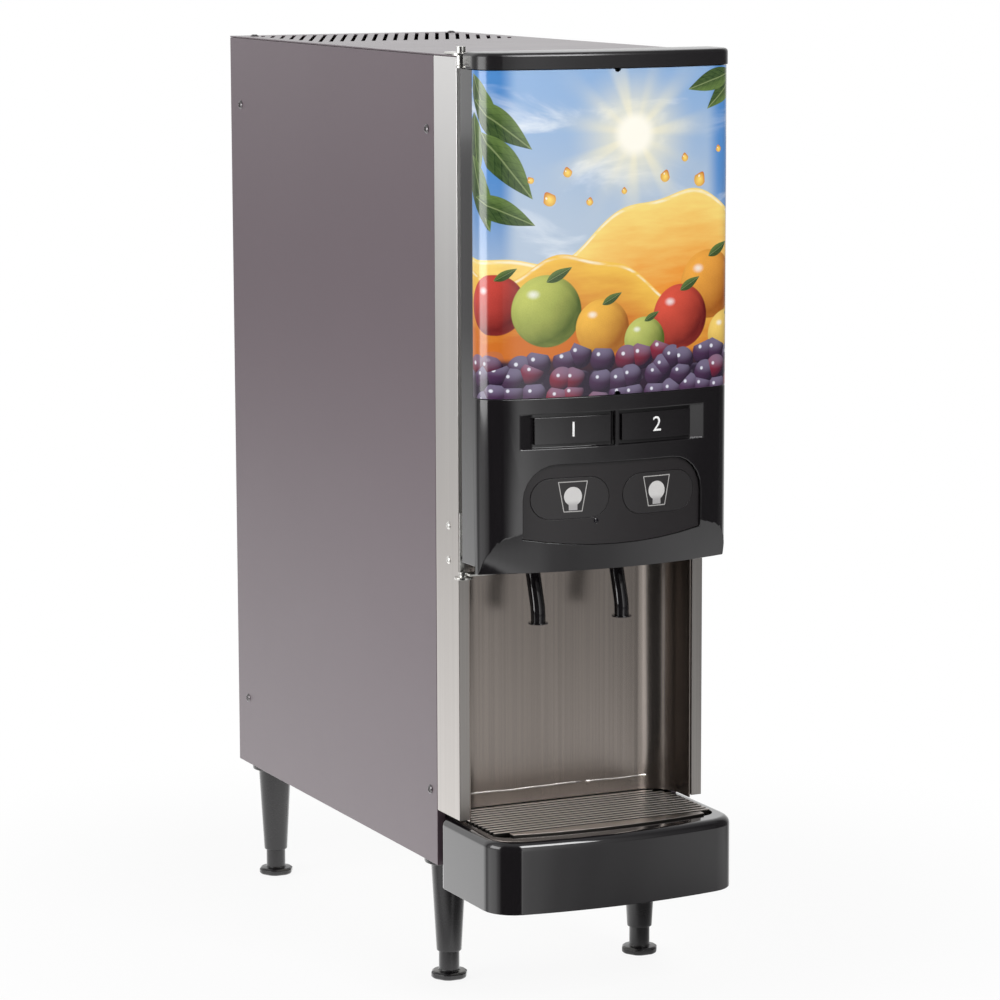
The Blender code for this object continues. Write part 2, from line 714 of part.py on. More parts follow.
def foam_jacket():
    low_z = DECK_Z + FRAME_SHEET + CLEAR
    foam = box("foam_jacket", (-INNER_HALF, PAN_FRONT_Y, low_z),
               (INNER_HALF, FOAM_REAR_Y, PANEL_TOP_Z))
    nose_half = FRAME_INNER_HALF - CLEAR
    join(foam, box("foam_nose", (-nose_half, LIP_REAR_Y + CLEAR, low_z),
                   (nose_half, PAN_FRONT_Y + OVERRUN, COLD_OPENING_HIGH_Z - CLEAR)))
    cut(foam, box("foam_hollow",
                  (-LINER_HALF - CLEAR, LIP_REAR_Y - OVERRUN, LINER_LOW_Z - CLEAR),
                  (LINER_HALF + CLEAR, LINER_REAR_Y + CLEAR, LINER_HIGH_Z + CLEAR)))
    for side, sign in SIDES.items():
        cut(foam, nozzle_hole("foam_hole_" + side, sign * NOZZLE_X))
    keep(foam, finish("foam", (0.82, 0.74, 0.5), 0.9))


# Juice containers: inverted jugs whose capped necks drop through the rack onto the pumps
CONTAINER_GAP = 0.002        # room at each side of a container
CONTAINER_HEADROOM = 0.0257  # room to lift a container off its pump
CONTAINER_FRONT_INSET = 0.0155
CONTAINER_REAR_GAP = 0.010
CONTAINER_EDGE = 0.010
NECK_RADIUS = 0.015
NECK_LENGTH = 0.019
NECK_INSET = 0.022
NECK_PLUNGE = 0.006      # how far a neck reaches into its pump's socket
PUMP_WIDTH = 0.050
PUMP_DEPTH = 0.052
PUMP_FRONT_INSET = 0.004
MOTOR_RADIUS = 0.0195
MOTOR_LENGTH = 0.060
RACK_TOP_Z = RACK_Z + RACK_THICKNESS
CONTAINER_LOW_Z = RACK_TOP_Z + CLEAR
CONTAINER_HEIGHT = LINER_HIGH_Z - LINER_WALL - CONTAINER_HEADROOM - CONTAINER_LOW_Z
CONTAINER_X = (LINER_HALF - LINER_WALL) / 2
CONTAINER_WIDTH = 2 * (CONTAINER_X - CONTAINER_GAP)
CONTAINER_FRONT_Y = LIP_FRONT_Y + CONTAINER_FRONT_INSET
CONTAINER_REAR_Y = LINER_REAR_Y - LINER_WALL - CONTAINER_REAR_GAP
NECK_Y = CONTAINER_FRONT_Y + NECK_INSET
NECK_LOW_Z = CONTAINER_LOW_Z - NECK_LENGTH
PUMP_LOW_Z = LINER_FLOOR_Z + CLEAR
PUMP_HIGH_Z = NECK_LOW_Z + NECK_PLUNGE
PUMP_FRONT_Y = LIP_FRONT_Y + PUMP_FRONT_INSET
PUMP_REAR_Y = PUMP_FRONT_Y + PUMP_DEPTH


def container_shelf():
    reach = LINER_HALF - LINER_WALL - CLEAR
    rack = box("container_shelf", (-reach, LIP_FRONT_Y + RACK_FRONT_INSET, RACK_Z),
               (reach, LINER_REAR_Y - LINER_WALL - CLEAR, RACK_TOP_Z))
    for side, sign in SIDES.items():
        cut(rack, cylinder("rack_hole_" + side, (sign * CONTAINER_X, NECK_Y, RACK_Z - OVERRUN),
                           RACK_THICKNESS + 2 * OVERRUN, NECK_RADIUS + CLEAR))
    keep(rack, white_plastic())


def juice_containers():
    for side, sign in SIDES.items():
        x = sign * CONTAINER_X
        jug = box("juice_container_" + side,
                  (x - CONTAINER_WIDTH / 2, CONTAINER_FRONT_Y, CONTAINER_LOW_Z),
                  (x + CONTAINER_WIDTH / 2, CONTAINER_REAR_Y, CONTAINER_LOW_Z + CONTAINER_HEIGHT))
        soften = jug.modifiers.new("round_edges", "BEVEL")
        soften.width = CONTAINER_EDGE
        soften.segments = 2
        join(jug, cylinder("neck_" + side, (x, NECK_Y, NECK_LOW_Z), NECK_LENGTH + OVERRUN,
                           NECK_RADIUS, segments=20))
        keep(jug, finish("milky_plastic", (0.85, 0.84, 0.8), 0.45))


def pumps():
    """Pump head with the socket for its container's neck, and its motor behind it."""
    for side, sign in SIDES.items():
        x = sign * CONTAINER_X
        head = box("pump_" + side,
                   (x - PUMP_WIDTH / 2, PUMP_FRONT_Y, PUMP_LOW_Z),
                   (x + PUMP_WIDTH / 2, PUMP_REAR_Y, PUMP_HIGH_Z))
        join(head, cylinder("pump_motor_" + side,
                            (x, PUMP_REAR_Y - OVERRUN, PUMP_LOW_Z + MOTOR_RADIUS),
                            MOTOR_LENGTH + OVERRUN, MOTOR_RADIUS, axis="Y"))
        cut(head, cylinder("pump_socket_" + side, (x, NECK_Y, NECK_LOW_Z - CLEAR),
                           NECK_PLUNGE + OVERRUN, NECK_RADIUS + CLEAR))
        keep(head, black_satin())


# Chilling: water tank with its lid, evaporator coil and agitator
TANK_SIDE_GAP = 0.0205
TANK_LENGTH = 0.225
TANK_HEIGHT = 0.218
TANK_WALL = 0.0025
TANK_GAP = 0.005
LID_THICKNESS = 0.005
COIL_RISER_GAP = 0.018    # from the helix out to the riser
COIL_TUBE = 0.004
COIL_TURNS = 5
COIL_PITCH = 0.032
COIL_TURN_POINTS = 16
COIL_RISER_INSET = 0.018
COIL_RISE = 0.012
STIR_MOTOR_RADIUS = 0.022
STIR_MOTOR_HEIGHT = 0.034
STIR_SHAFT = 0.003
STIR_BLADE_REACH = 0.026
STIR_BLADE_HEIGHT = 0.012
STIR_BLADE_THICKNESS = 0.002
STIR_BLADE_COUNT = 4
STIR_LIFT = 0.045        # blades above the tank's floor
STIR_BORE_DEPTH = 0.014
TANK_FRONT_Y = PAN_WALL_Y + PAN_SHEET + TANK_GAP
TANK_REAR_Y = TANK_FRONT_Y + TANK_LENGTH
TANK_Y = (TANK_FRONT_Y + TANK_REAR_Y) / 2
TANK_HALF = INNER_HALF - TANK_SIDE_GAP
COIL_RISER_X = TANK_HALF - COIL_RISER_INSET
COIL_RADIUS = COIL_RISER_X - COIL_RISER_GAP
TANK_FLOOR_Z = PAN_SEAT_Z + TANK_WALL
TANK_TOP_Z = PAN_SEAT_Z + TANK_HEIGHT
LID_Z = TANK_TOP_Z + CLEAR
LID_TOP_Z = LID_Z + LID_THICKNESS
STIR_MOTOR_Z = LID_TOP_Z + CLEAR
COIL_LOW_Z = TANK_FLOOR_Z + COIL_TUBE + CLEAR


def chill_tank():
    tank = box("chill_tank", (-TANK_HALF, TANK_FRONT_Y, PAN_SEAT_Z),
               (TANK_HALF, TANK_REAR_Y, TANK_TOP_Z))
    cut(tank, box("tank_hollow",
                  (-TANK_HALF + TANK_WALL, TANK_FRONT_Y + TANK_WALL, TANK_FLOOR_Z),
                  (TANK_HALF - TANK_WALL, TANK_REAR_Y - TANK_WALL, TANK_TOP_Z + OVERRUN)))
    keep(tank, white_plastic())
    lid = box("chill_tank_lid", (-TANK_HALF, TANK_FRONT_Y, LID_Z),
              (TANK_HALF, TANK_REAR_Y, LID_TOP_Z))
    holes = {"shaft": (0, STIR_SHAFT + RUNNING), "coil_end": (COIL_RADIUS, COIL_TUBE + CLEAR),
             "coil_start": (COIL_RISER_X, COIL_TUBE + CLEAR)}
    for hole, (x, radius) in holes.items():
        cut(lid, cylinder("lid_hole_" + hole, (x, TANK_Y, LID_Z - OVERRUN),
                          LID_THICKNESS + 2 * OVERRUN, radius, segments=16))
    keep(lid, white_plastic())


def chilling_coil():
    """Down the riser, out to the coil's radius, up the helix and straight up to its end."""
    top_z = LID_TOP_Z + COIL_RISE
    points = [(COIL_RISER_X, TANK_Y, top_z), (COIL_RISER_X, TANK_Y, COIL_LOW_Z + 2 * COIL_TUBE),
              (COIL_RISER_X - COIL_TUBE, TANK_Y, COIL_LOW_Z)]
    steps = COIL_TURNS * COIL_TURN_POINTS
    for i in range(1, steps + 1):
        angle = 2 * math.pi * i / COIL_TURN_POINTS
        points.append((COIL_RADIUS * math.cos(angle), TANK_Y + COIL_RADIUS * math.sin(angle),
                       COIL_LOW_Z + COIL_PITCH * i / COIL_TURN_POINTS))
    points.append((COIL_RADIUS, TANK_Y, top_z))
    keep(tube("chilling_coil", points, COIL_TUBE, resolution=1), copper())


def agitator():
    motor = cylinder("agitator_motor", (0, TANK_Y, STIR_MOTOR_Z), STIR_MOTOR_HEIGHT,
                     STIR_MOTOR_RADIUS)
    cut(motor, cylinder("motor_bore", (0, TANK_Y, STIR_MOTOR_Z - OVERRUN),
                        STIR_BORE_DEPTH + OVERRUN, STIR_SHAFT + RUNNING, segments=16))
    keep(shade_round(motor), dark_metal())
    blade_z = TANK_FLOOR_Z + STIR_LIFT
    shaft_top = STIR_MOTOR_Z + STIR_BORE_DEPTH - RUNNING
    stirrer = cylinder("agitator", (0, TANK_Y, blade_z), shaft_top - blade_z, STIR_SHAFT,
                       segments=16)
    for i in range(STIR_BLADE_COUNT // 2):
        blade = box("agitator_blade_" + str(i), (-STIR_BLADE_REACH, -STIR_BLADE_THICKNESS / 2, 0),
                    (STIR_BLADE_REACH, STIR_BLADE_THICKNESS / 2, STIR_BLADE_HEIGHT))
        blade.location = (0, TANK_Y, blade_z + STIR_BLADE_HEIGHT / 2 + STIR_SHAFT)
        blade.rotation_euler = (0, 0, 2 * math.pi * i / STIR_BLADE_COUNT)
        join(stirrer, blade)
    keep(stirrer, stainless())


# Refrigeration at the rear: compressor below, condenser and fan on the shelf above
COMPRESSOR_RADIUS = 0.066
COMPRESSOR_HEIGHT = 0.165
COMPRESSOR_GAP = 0.054
FOOT_PLATE_HALF_X = 0.082
FOOT_PLATE_HALF_Y = 0.058
FOOT_PLATE_SHEET = 0.004
GROMMET_RADIUS = 0.009
GROMMET_HEIGHT = 0.012
GROMMET_INSET = 0.012
COMPRESSOR_Y = TANK_REAR_Y + COMPRESSOR_GAP + COMPRESSOR_RADIUS
CONDENSER_SIDE_GAP = 0.0315
CONDENSER_HEIGHT = 0.260
FIN_COUNT = 10
FIN_GAP = 0.006
FIN_GAP_DEPTH = 0.030
SHROUD_SHEET = 0.002
SHROUD_FACE = 0.015          # face of the shroud beside its mouth
FAN_RIM_GAP = 0.004
HUB_RADIUS = 0.018
HUB_LENGTH = 0.022
BLADE_COUNT = 5
BLADE_CHORD = 0.026
BLADE_SHEET = 0.0018
BLADE_PITCH_DEGREES = 28
FAN_SHAFT = 0.003
FAN_SHAFT_REACH = 0.014
FAN_MOTOR_RADIUS = 0.021
FAN_FOOT_WIDTH = 0.030
FAN_FOOT_DEPTH = 0.020
CONDENSER_WIDTH = 2 * (INNER_HALF - CONDENSER_SIDE_GAP)
FAN_RADIUS = CONDENSER_WIDTH / 2 - SHROUD_FACE - FAN_RIM_GAP
SHELF_SEAT_Z = SHELF_TOP_Z + CLEAR
FAN_Z = SHELF_SEAT_Z + CONDENSER_HEIGHT / 2
SHELF_FRONT_GAP = 0.003


def component_shelf():
    shelf = box("component_shelf",
                (-INNER_HALF, FOAM_REAR_Y + SHELF_FRONT_GAP, SHELF_TOP_Z - SHELF_SHEET),
                (INNER_HALF, PAN_REAR_Y, SHELF_TOP_Z))
    keep(shelf, zinc())


def compressor():
    """Domed shell on a foot plate that stands on four rubber grommets."""
    plate_z = PAN_SEAT_Z + GROMMET_HEIGHT
    dome_z = plate_z + FOOT_PLATE_SHEET
    shoulder = COMPRESSOR_RADIUS / 3
    dome = [(0, COMPRESSOR_HEIGHT)]
    dome += [(COMPRESSOR_RADIUS * math.sin(math.radians(a)),
              COMPRESSOR_HEIGHT - shoulder * (1 - math.cos(math.radians(a))))
             for a in (30, 55, 75, 90)]
    dome += [(COMPRESSOR_RADIUS, 0), (0, 0)]
    shell = turned("compressor", dome, (0, COMPRESSOR_Y, dome_z), steps=24)
    foot = box("compressor_foot",
               (-FOOT_PLATE_HALF_X, COMPRESSOR_Y - FOOT_PLATE_HALF_Y, plate_z),
               (FOOT_PLATE_HALF_X, COMPRESSOR_Y + FOOT_PLATE_HALF_Y,
                dome_z + FOOT_PLATE_SHEET / 2))
    join(shell, foot)
    for i, (u, v) in enumerate(((-1, -1), (1, -1), (1, 1), (-1, 1))):
        join(shell, cylinder(
            "grommet_" + str(i),
            (u * (FOOT_PLATE_HALF_X - GROMMET_INSET),
             COMPRESSOR_Y + v * (FOOT_PLATE_HALF_Y - GROMMET_INSET), PAN_SEAT_Z),
            GROMMET_HEIGHT + FOOT_PLATE_SHEET / 2, GROMMET_RADIUS, segments=12))
    keep(shell, dark_metal())


def condenser():
    half = CONDENSER_WIDTH / 2
    core = box("condenser", (-half, CONDENSER_FRONT_Y, SHELF_SEAT_Z),
               (half, CONDENSER_REAR_Y, SHELF_SEAT_Z + CONDENSER_HEIGHT))
    pitch = CONDENSER_WIDTH / (FIN_COUNT + 1)
    gaps = []
    for i in range(FIN_COUNT):
        x = -half + pitch * (i + 1)
        gaps.append(((x - FIN_GAP / 2, CONDENSER_REAR_Y - FIN_GAP_DEPTH, SHELF_SEAT_Z - OVERRUN),
                     (x + FIN_GAP / 2, CONDENSER_REAR_Y + OVERRUN,
                      SHELF_SEAT_Z + CONDENSER_HEIGHT + OVERRUN)))
    cut(core, boxes("fin_gaps", gaps))
    keep(core, finish("aluminium_fins", (0.7, 0.71, 0.72), 0.4, 1.0))


def fan_shroud():
    half = CONDENSER_WIDTH / 2
    top_z = SHELF_SEAT_Z + CONDENSER_HEIGHT
    shroud = box("fan_shroud", (-half, SHROUD_FRONT_Y, SHELF_SEAT_Z), (half, SHROUD_REAR_Y, top_z))
    cut(shroud,
        box("shroud_hollow",
            (-half + SHROUD_SHEET, SHROUD_FRONT_Y + SHROUD_SHEET, SHELF_SEAT_Z + SHROUD_SHEET),
            (half - SHROUD_SHEET, SHROUD_REAR_Y + OVERRUN, top_z - SHROUD_SHEET)),
        cylinder("shroud_mouth", (0, SHROUD_FRONT_Y - OVERRUN, FAN_Z),
                 SHROUD_SHEET + 2 * OVERRUN, FAN_RADIUS + FAN_RIM_GAP, axis="Y", segments=32))
    keep(shroud, dark_metal())


def fan():
    """Hub and pitched blades, turning about Y on the motor's shaft."""
    centre = (0, HUB_FRONT_Y, FAN_Z)
    hub = cylinder("fan", centre, HUB_LENGTH, HUB_RADIUS, axis="Y", segments=20)
    for i in range(BLADE_COUNT):
        blade = box("fan_blade_" + str(i),
                    (-BLADE_CHORD / 2, -BLADE_SHEET / 2, HUB_RADIUS / 2),
                    (BLADE_CHORD / 2, BLADE_SHEET / 2, FAN_RADIUS))
        blade.data.transform(Matrix.Translation((0, 0, (HUB_RADIUS / 2 + FAN_RADIUS) / 2)))
        blade.location = (0, HUB_FRONT_Y + HUB_LENGTH / 2, FAN_Z)
        place = (Matrix.Rotation(2 * math.pi * i / BLADE_COUNT, 4, "Y")
                 @ Matrix.Rotation(math.radians(BLADE_PITCH_DEGREES), 4, "Z"))
        blade.rotation_euler = place.to_euler()
        join(hub, blade)
    bore_depth = FAN_SHAFT_REACH - FAN_MOTOR_GAP + RUNNING
    cut(hub, cylinder("hub_bore", (0, HUB_FRONT_Y - OVERRUN, FAN_Z), bore_depth + OVERRUN,
                      FAN_SHAFT + RUNNING, axis="Y", segments=16))
    keep(hub, black_satin())
    motor = cylinder("fan_motor", (0, MOTOR_FACE_Y - FAN_MOTOR_LENGTH, FAN_Z), FAN_MOTOR_LENGTH,
                     FAN_MOTOR_RADIUS, axis="Y")
    join(motor, cylinder("fan_shaft", (0, MOTOR_FACE_Y - OVERRUN, FAN_Z),
                         FAN_SHAFT_REACH + OVERRUN, FAN_SHAFT, axis="Y", segments=16),
         box("fan_foot",
             (-FAN_FOOT_WIDTH / 2,
              MOTOR_FACE_Y - FAN_MOTOR_LENGTH / 2 - FAN_FOOT_DEPTH / 2, SHELF_SEAT_Z),
             (FAN_FOOT_WIDTH / 2,
              MOTOR_FACE_Y - FAN_MOTOR_LENGTH / 2 + FAN_FOOT_DEPTH / 2, FAN_Z)))
    keep(motor, dark_metal())


# Electrics: control board on stand-offs, power supply, power inlet with its rocker
BOARD_HEIGHT = 0.130
BOARD_LENGTH = 0.080
BOARD_SHEET = 0.0016
BOARD_RISE = 0.100
BOARD_GAP = 0.010
STANDOFF_LENGTH = 0.014
STANDOFF_RADIUS = 0.003
STANDOFF_INSET = 0.008
CHIP_HEIGHT = 0.012
CHIP_SHARES = ((0.2, 0.15, 0.3, 0.3), (0.6, 0.2, 0.25, 0.2), (0.25, 0.6, 0.5, 0.25))
SUPPLY_WIDTH = 0.060
SUPPLY_HEIGHT = 0.085


def control_board():
    front_y = FOAM_REAR_Y + BOARD_GAP
    low_z = SHELF_TOP_Z + BOARD_RISE
    wall_x = -INNER_HALF
    face_x = wall_x + STANDOFF_LENGTH
    board = box("control_board", (face_x, front_y, low_z),
                (face_x + BOARD_SHEET, front_y + BOARD_LENGTH, low_z + BOARD_HEIGHT))
    for i, (u, v) in enumerate(((0, 0), (1, 0), (1, 1), (0, 1))):
        y = front_y + STANDOFF_INSET + u * (BOARD_LENGTH - 2 * STANDOFF_INSET)
        z = low_z + STANDOFF_INSET + v * (BOARD_HEIGHT - 2 * STANDOFF_INSET)
        join(board, cylinder("standoff_" + str(i), (wall_x, y, z),
                             STANDOFF_LENGTH + BOARD_SHEET / 2, STANDOFF_RADIUS, axis="X",
                             segments=10))
    for i, (y_share, z_share, long_share, high_share) in enumerate(CHIP_SHARES):
        low = (face_x + BOARD_SHEET / 2, front_y + y_share * BOARD_LENGTH,
               low_z + z_share * BOARD_HEIGHT)
        high = (face_x + CHIP_HEIGHT, low[1] + long_share * BOARD_LENGTH,
                low[2] + high_share * BOARD_HEIGHT)
        join(board, box("chip_" + str(i), low, high))
    keep(board, finish("circuit_board", (0.03, 0.2, 0.08), 0.5))


def power_supply():
    right_x = INNER_HALF - SUPPLY_GAP
    unit = box("power_supply",
               (right_x - SUPPLY_WIDTH, SUPPLY_REAR_Y - SUPPLY_DEPTH, SHELF_SEAT_Z),
               (right_x, SUPPLY_REAR_Y, SHELF_SEAT_Z + SUPPLY_HEIGHT))
    keep(unit, zinc())


SOCKET_WIDTH = 0.0275
SOCKET_HEIGHT = 0.020
SOCKET_DEPTH = 0.020
SOCKET_SHIFT = 0.0115
ROCKER_WIDTH = 0.0115
ROCKER_HEIGHT = 0.0185
ROCKER_DEPTH = 0.0055
ROCKER_SHIFT = 0.019
ROCKER_PIVOT_DEPTH = 0.0045
ROCKER_TILT_DEGREES = 9
ROCKER_POCKET_DEPTH = 0.014
ROCKER_GAP = 0.0006
ENTRY_FACE_Y = BACK_Y


def power_entry():
    """Moulded inlet with a socket and a rocker pocket, its flange on the rear panel."""
    unit = box("power_entry",
               (ENTRY_X - ENTRY_WIDTH / 2, REAR_FACE_Y - ENTRY_DEPTH, ENTRY_Z - ENTRY_HEIGHT / 2),
               (ENTRY_X + ENTRY_WIDTH / 2, ENTRY_FACE_Y, ENTRY_Z + ENTRY_HEIGHT / 2))
    join(unit, box("entry_flange",
                   (ENTRY_X - ENTRY_WIDTH / 2 - ENTRY_FLANGE, REAR_FACE_Y + CLEAR,
                    ENTRY_Z - ENTRY_HEIGHT / 2 - ENTRY_FLANGE),
                   (ENTRY_X + ENTRY_WIDTH / 2 + ENTRY_FLANGE, ENTRY_FACE_Y,
                    ENTRY_Z + ENTRY_HEIGHT / 2 + ENTRY_FLANGE)))
    socket_x = ENTRY_X - SOCKET_SHIFT
    rocker_x = ENTRY_X + ROCKER_SHIFT
    half_rocker = ROCKER_WIDTH / 2 + ROCKER_GAP
    reach = ROCKER_HEIGHT / 2 + ROCKER_GAP
    cut(unit,
        box("socket_pocket",
            (socket_x - SOCKET_WIDTH / 2, ENTRY_FACE_Y - SOCKET_DEPTH, ENTRY_Z - SOCKET_HEIGHT / 2),
            (socket_x + SOCKET_WIDTH / 2, ENTRY_FACE_Y + OVERRUN, ENTRY_Z + SOCKET_HEIGHT / 2)),
        box("rocker_pocket",
            (rocker_x - half_rocker, ENTRY_FACE_Y - ROCKER_POCKET_DEPTH, ENTRY_Z - reach),
            (rocker_x + half_rocker, ENTRY_FACE_Y + OVERRUN, ENTRY_Z + reach)))
    keep(unit, black_satin())
    half = ROCKER_HEIGHT / 2
    crown = ROCKER_DEPTH / 2
    side_view = [(crown, -half), (crown / 2, 0), (crown, half), (0, half), (-crown, half / 2),
                 (-crown, -half / 2), (0, -half)]
    rocker = outline_solid("power_rocker", side_view, -ROCKER_WIDTH / 2, ROCKER_WIDTH / 2,
                           across="X")
    rocker.location = (rocker_x, ENTRY_FACE_Y - ROCKER_PIVOT_DEPTH, ENTRY_Z)
    rocker.rotation_euler = (math.radians(-ROCKER_TILT_DEGREES), 0, 0)
    keep(rocker, black_gloss())


def water_valve():
    half_x, half_y = VALVE_WIDTH / 2, VALVE_DEPTH / 2
    valve = box("water_valve", (VALVE_X - half_x, VALVE_Y - half_y, PAN_SEAT_Z),
                (VALVE_X + half_x, VALVE_Y + half_y, PAN_SEAT_Z + VALVE_HEIGHT))
    join(valve,
         cylinder("valve_coil", (VALVE_X, VALVE_Y, PAN_SEAT_Z + VALVE_HEIGHT - OVERRUN),
                  VALVE_COIL_HEIGHT + OVERRUN, VALVE_COIL_RADIUS, segments=16),
         cylinder("valve_inlet", (VALVE_X, VALVE_Y, CABINET_FLOOR_Z - INLET_DROP),
                  PAN_SEAT_Z - CABINET_FLOOR_Z + INLET_DROP + OVERRUN, INLET_RADIUS, segments=16),
         cylinder("valve_flare", (VALVE_X, VALVE_Y, CABINET_FLOOR_Z - INLET_DROP),
                  INLET_FLARE, INLET_FLARE_RADIUS, segments=16))
    keep(valve, finish("brass", (0.7, 0.52, 0.24), 0.35, 1.0))


# Legs: tapered sleeves under the base pan, and the feet that screw into them
LEG_INSET_X = 0.023
LEG_FRONT_INSET = 0.0275
LEG_REAR_INSET = 0.0353
SLEEVE_TOP_RADIUS = 0.0155
SLEEVE_LOW_RADIUS = 0.0112
SLEEVE_LOW_Z = 0.0245
SLEEVE_CHAMFER = 0.0012
LEG_FLANGE_RADIUS = 0.0215
LEG_FLANGE_HEIGHT = 0.004
STEM_RADIUS = 0.0092
STEM_LENGTH = 0.062
PAD_RADIUS = 0.0165
PAD_HEIGHT = 0.0065
PAD_EDGE = 0.0015
LEG_PLACES = {
    "front_left": (-HALF_WIDTH + LEG_INSET_X, PANEL_FRONT_Y + LEG_FRONT_INSET),
    "front_right": (HALF_WIDTH - LEG_INSET_X, PANEL_FRONT_Y + LEG_FRONT_INSET),
    "rear_left": (-HALF_WIDTH + LEG_INSET_X, BACK_Y - LEG_REAR_INSET),
    "rear_right": (HALF_WIDTH - LEG_INSET_X, BACK_Y - LEG_REAR_INSET)}


def legs():
    top = CABINET_FLOOR_Z - CLEAR
    stem_top = PAD_HEIGHT + STEM_LENGTH
    bore = STEM_RADIUS + RUNNING
    sleeve = [(0, top), (LEG_FLANGE_RADIUS, top), (LEG_FLANGE_RADIUS, top - LEG_FLANGE_HEIGHT),
              (SLEEVE_TOP_RADIUS, top - LEG_FLANGE_HEIGHT),
              (SLEEVE_LOW_RADIUS, SLEEVE_LOW_Z + SLEEVE_CHAMFER),
              (SLEEVE_LOW_RADIUS - SLEEVE_CHAMFER, SLEEVE_LOW_Z), (bore, SLEEVE_LOW_Z),
              (bore, stem_top + CLEAR), (0, stem_top + CLEAR)]
    foot = [(0, stem_top), (STEM_RADIUS, stem_top), (STEM_RADIUS, PAD_HEIGHT),
            (PAD_RADIUS - PAD_EDGE, PAD_HEIGHT), (PAD_RADIUS, PAD_HEIGHT - PAD_EDGE),
            (PAD_RADIUS, PAD_EDGE), (PAD_RADIUS - PAD_EDGE, 0), (0, 0)]
    for corner, (x, y) in LEG_PLACES.items():
        keep(turned("leg_sleeve_" + corner, sleeve, (x, y, 0), steps=20), black_satin())
        keep(turned("levelling_foot_" + corner, foot, (x, y, 0), steps=20), black_satin())


# Drip tray and its grille
TRAY_WALL = 0.003
TRAY_SIDE_GAP = 0.0005
TRAY_FLOOR = 0.003
TRAY_RIM_SIDE = 0.012
TRAY_RIM_FRONT = 0.020
TRAY_RIM_ROUND = 0.0075
TRAY_MOUTH_CORNER = 0.016
TRAY_LEDGE_DROP = 0.0028
TRAY_LEDGE = 0.003
GRILLE_THICKNESS = 0.0045
GRILLE_SIDE_GAP = 0.001
GRILLE_CORNER = 0.014
GRILLE_REAR_GAP = 0.0015
GRILLE_FRONT_GAP = 0.0015
GRILLE_BAR_PITCH = 0.0078
GRILLE_BAR_WIDTH = 0.0032
GRILLE_REAR_BAND = 0.004
GRILLE_FRONT_BAND = 0.0154   # at the middle of the bow
GRILLE_NOTCH = 0.012         # open corner at each end of the front band
GRILLE_WIRE = 0.0016
GRILLE_WIRE_X = 0.052
TRAY_HALF = HALF_WIDTH - TRAY_SIDE_GAP
TRAY_BOW_RADIUS = bow_radius_of(TRAY_HALF, TRAY_BOW)
TRAY_TUCK_HALF = HALF_WIDTH - PANEL_FLANGE - TRAY_SIDE_GAP
TRAY_TUCK_Y = PANEL_FRONT_Y + TRAY_TUCK
TRAY_UNDER_Z = PAN_TOP_Z + CLEAR
TRAY_FLOOR_Z = TRAY_UNDER_Z + TRAY_FLOOR
LEDGE_Z = TRAY_RIM_Z - TRAY_LEDGE_DROP
GRILLE_LOW_Z = LEDGE_Z + CLEAR
GRILLE_TOP_Z = GRILLE_LOW_Z + GRILLE_THICKNESS
GRILLE_REAR_Y = SPLASH_FACE_Y - SPLASH_LIP - GRILLE_REAR_GAP
TRAY_MOUTH_HALF = TRAY_HALF - TRAY_RIM_SIDE
TRAY_MOUTH_FRONT_Y = TRAY_FRONT_Y + TRAY_RIM_FRONT
TRAY_MOUTH_BOW = TRAY_BOW_RADIUS - TRAY_RIM_FRONT
GRILLE_HALF = TRAY_MOUTH_HALF - GRILLE_SIDE_GAP
GRILLE_FRONT_Y = TRAY_MOUTH_FRONT_Y + GRILLE_FRONT_GAP
GRILLE_BOW = TRAY_MOUTH_BOW - GRILLE_FRONT_GAP
GRILLE_REAR_CORNER = SPLASH_CORNER - GRILLE_REAR_GAP
GRILLE_GAP_COUNT = round((GRILLE_REAR_Y - GRILLE_REAR_BAND + GRILLE_BAR_WIDTH
                          - GRILLE_FRONT_Y - GRILLE_FRONT_BAND) / GRILLE_BAR_PITCH)


def tray_plan(inset, rear_y):
    return bowed_outline(TRAY_HALF - inset, rear_y, TRAY_FRONT_Y + inset,
                         TRAY_BOW_RADIUS - inset, TRAY_CORNER - inset)


def mouth_plan(grow, rear_y):
    """Plan of the mouth inside the broad rim, or of the basin below its ledge."""
    return bowed_outline(TRAY_MOUTH_HALF + grow, rear_y, TRAY_MOUTH_FRONT_Y - grow,
                         TRAY_MOUTH_BOW + grow, TRAY_MOUTH_CORNER + grow)


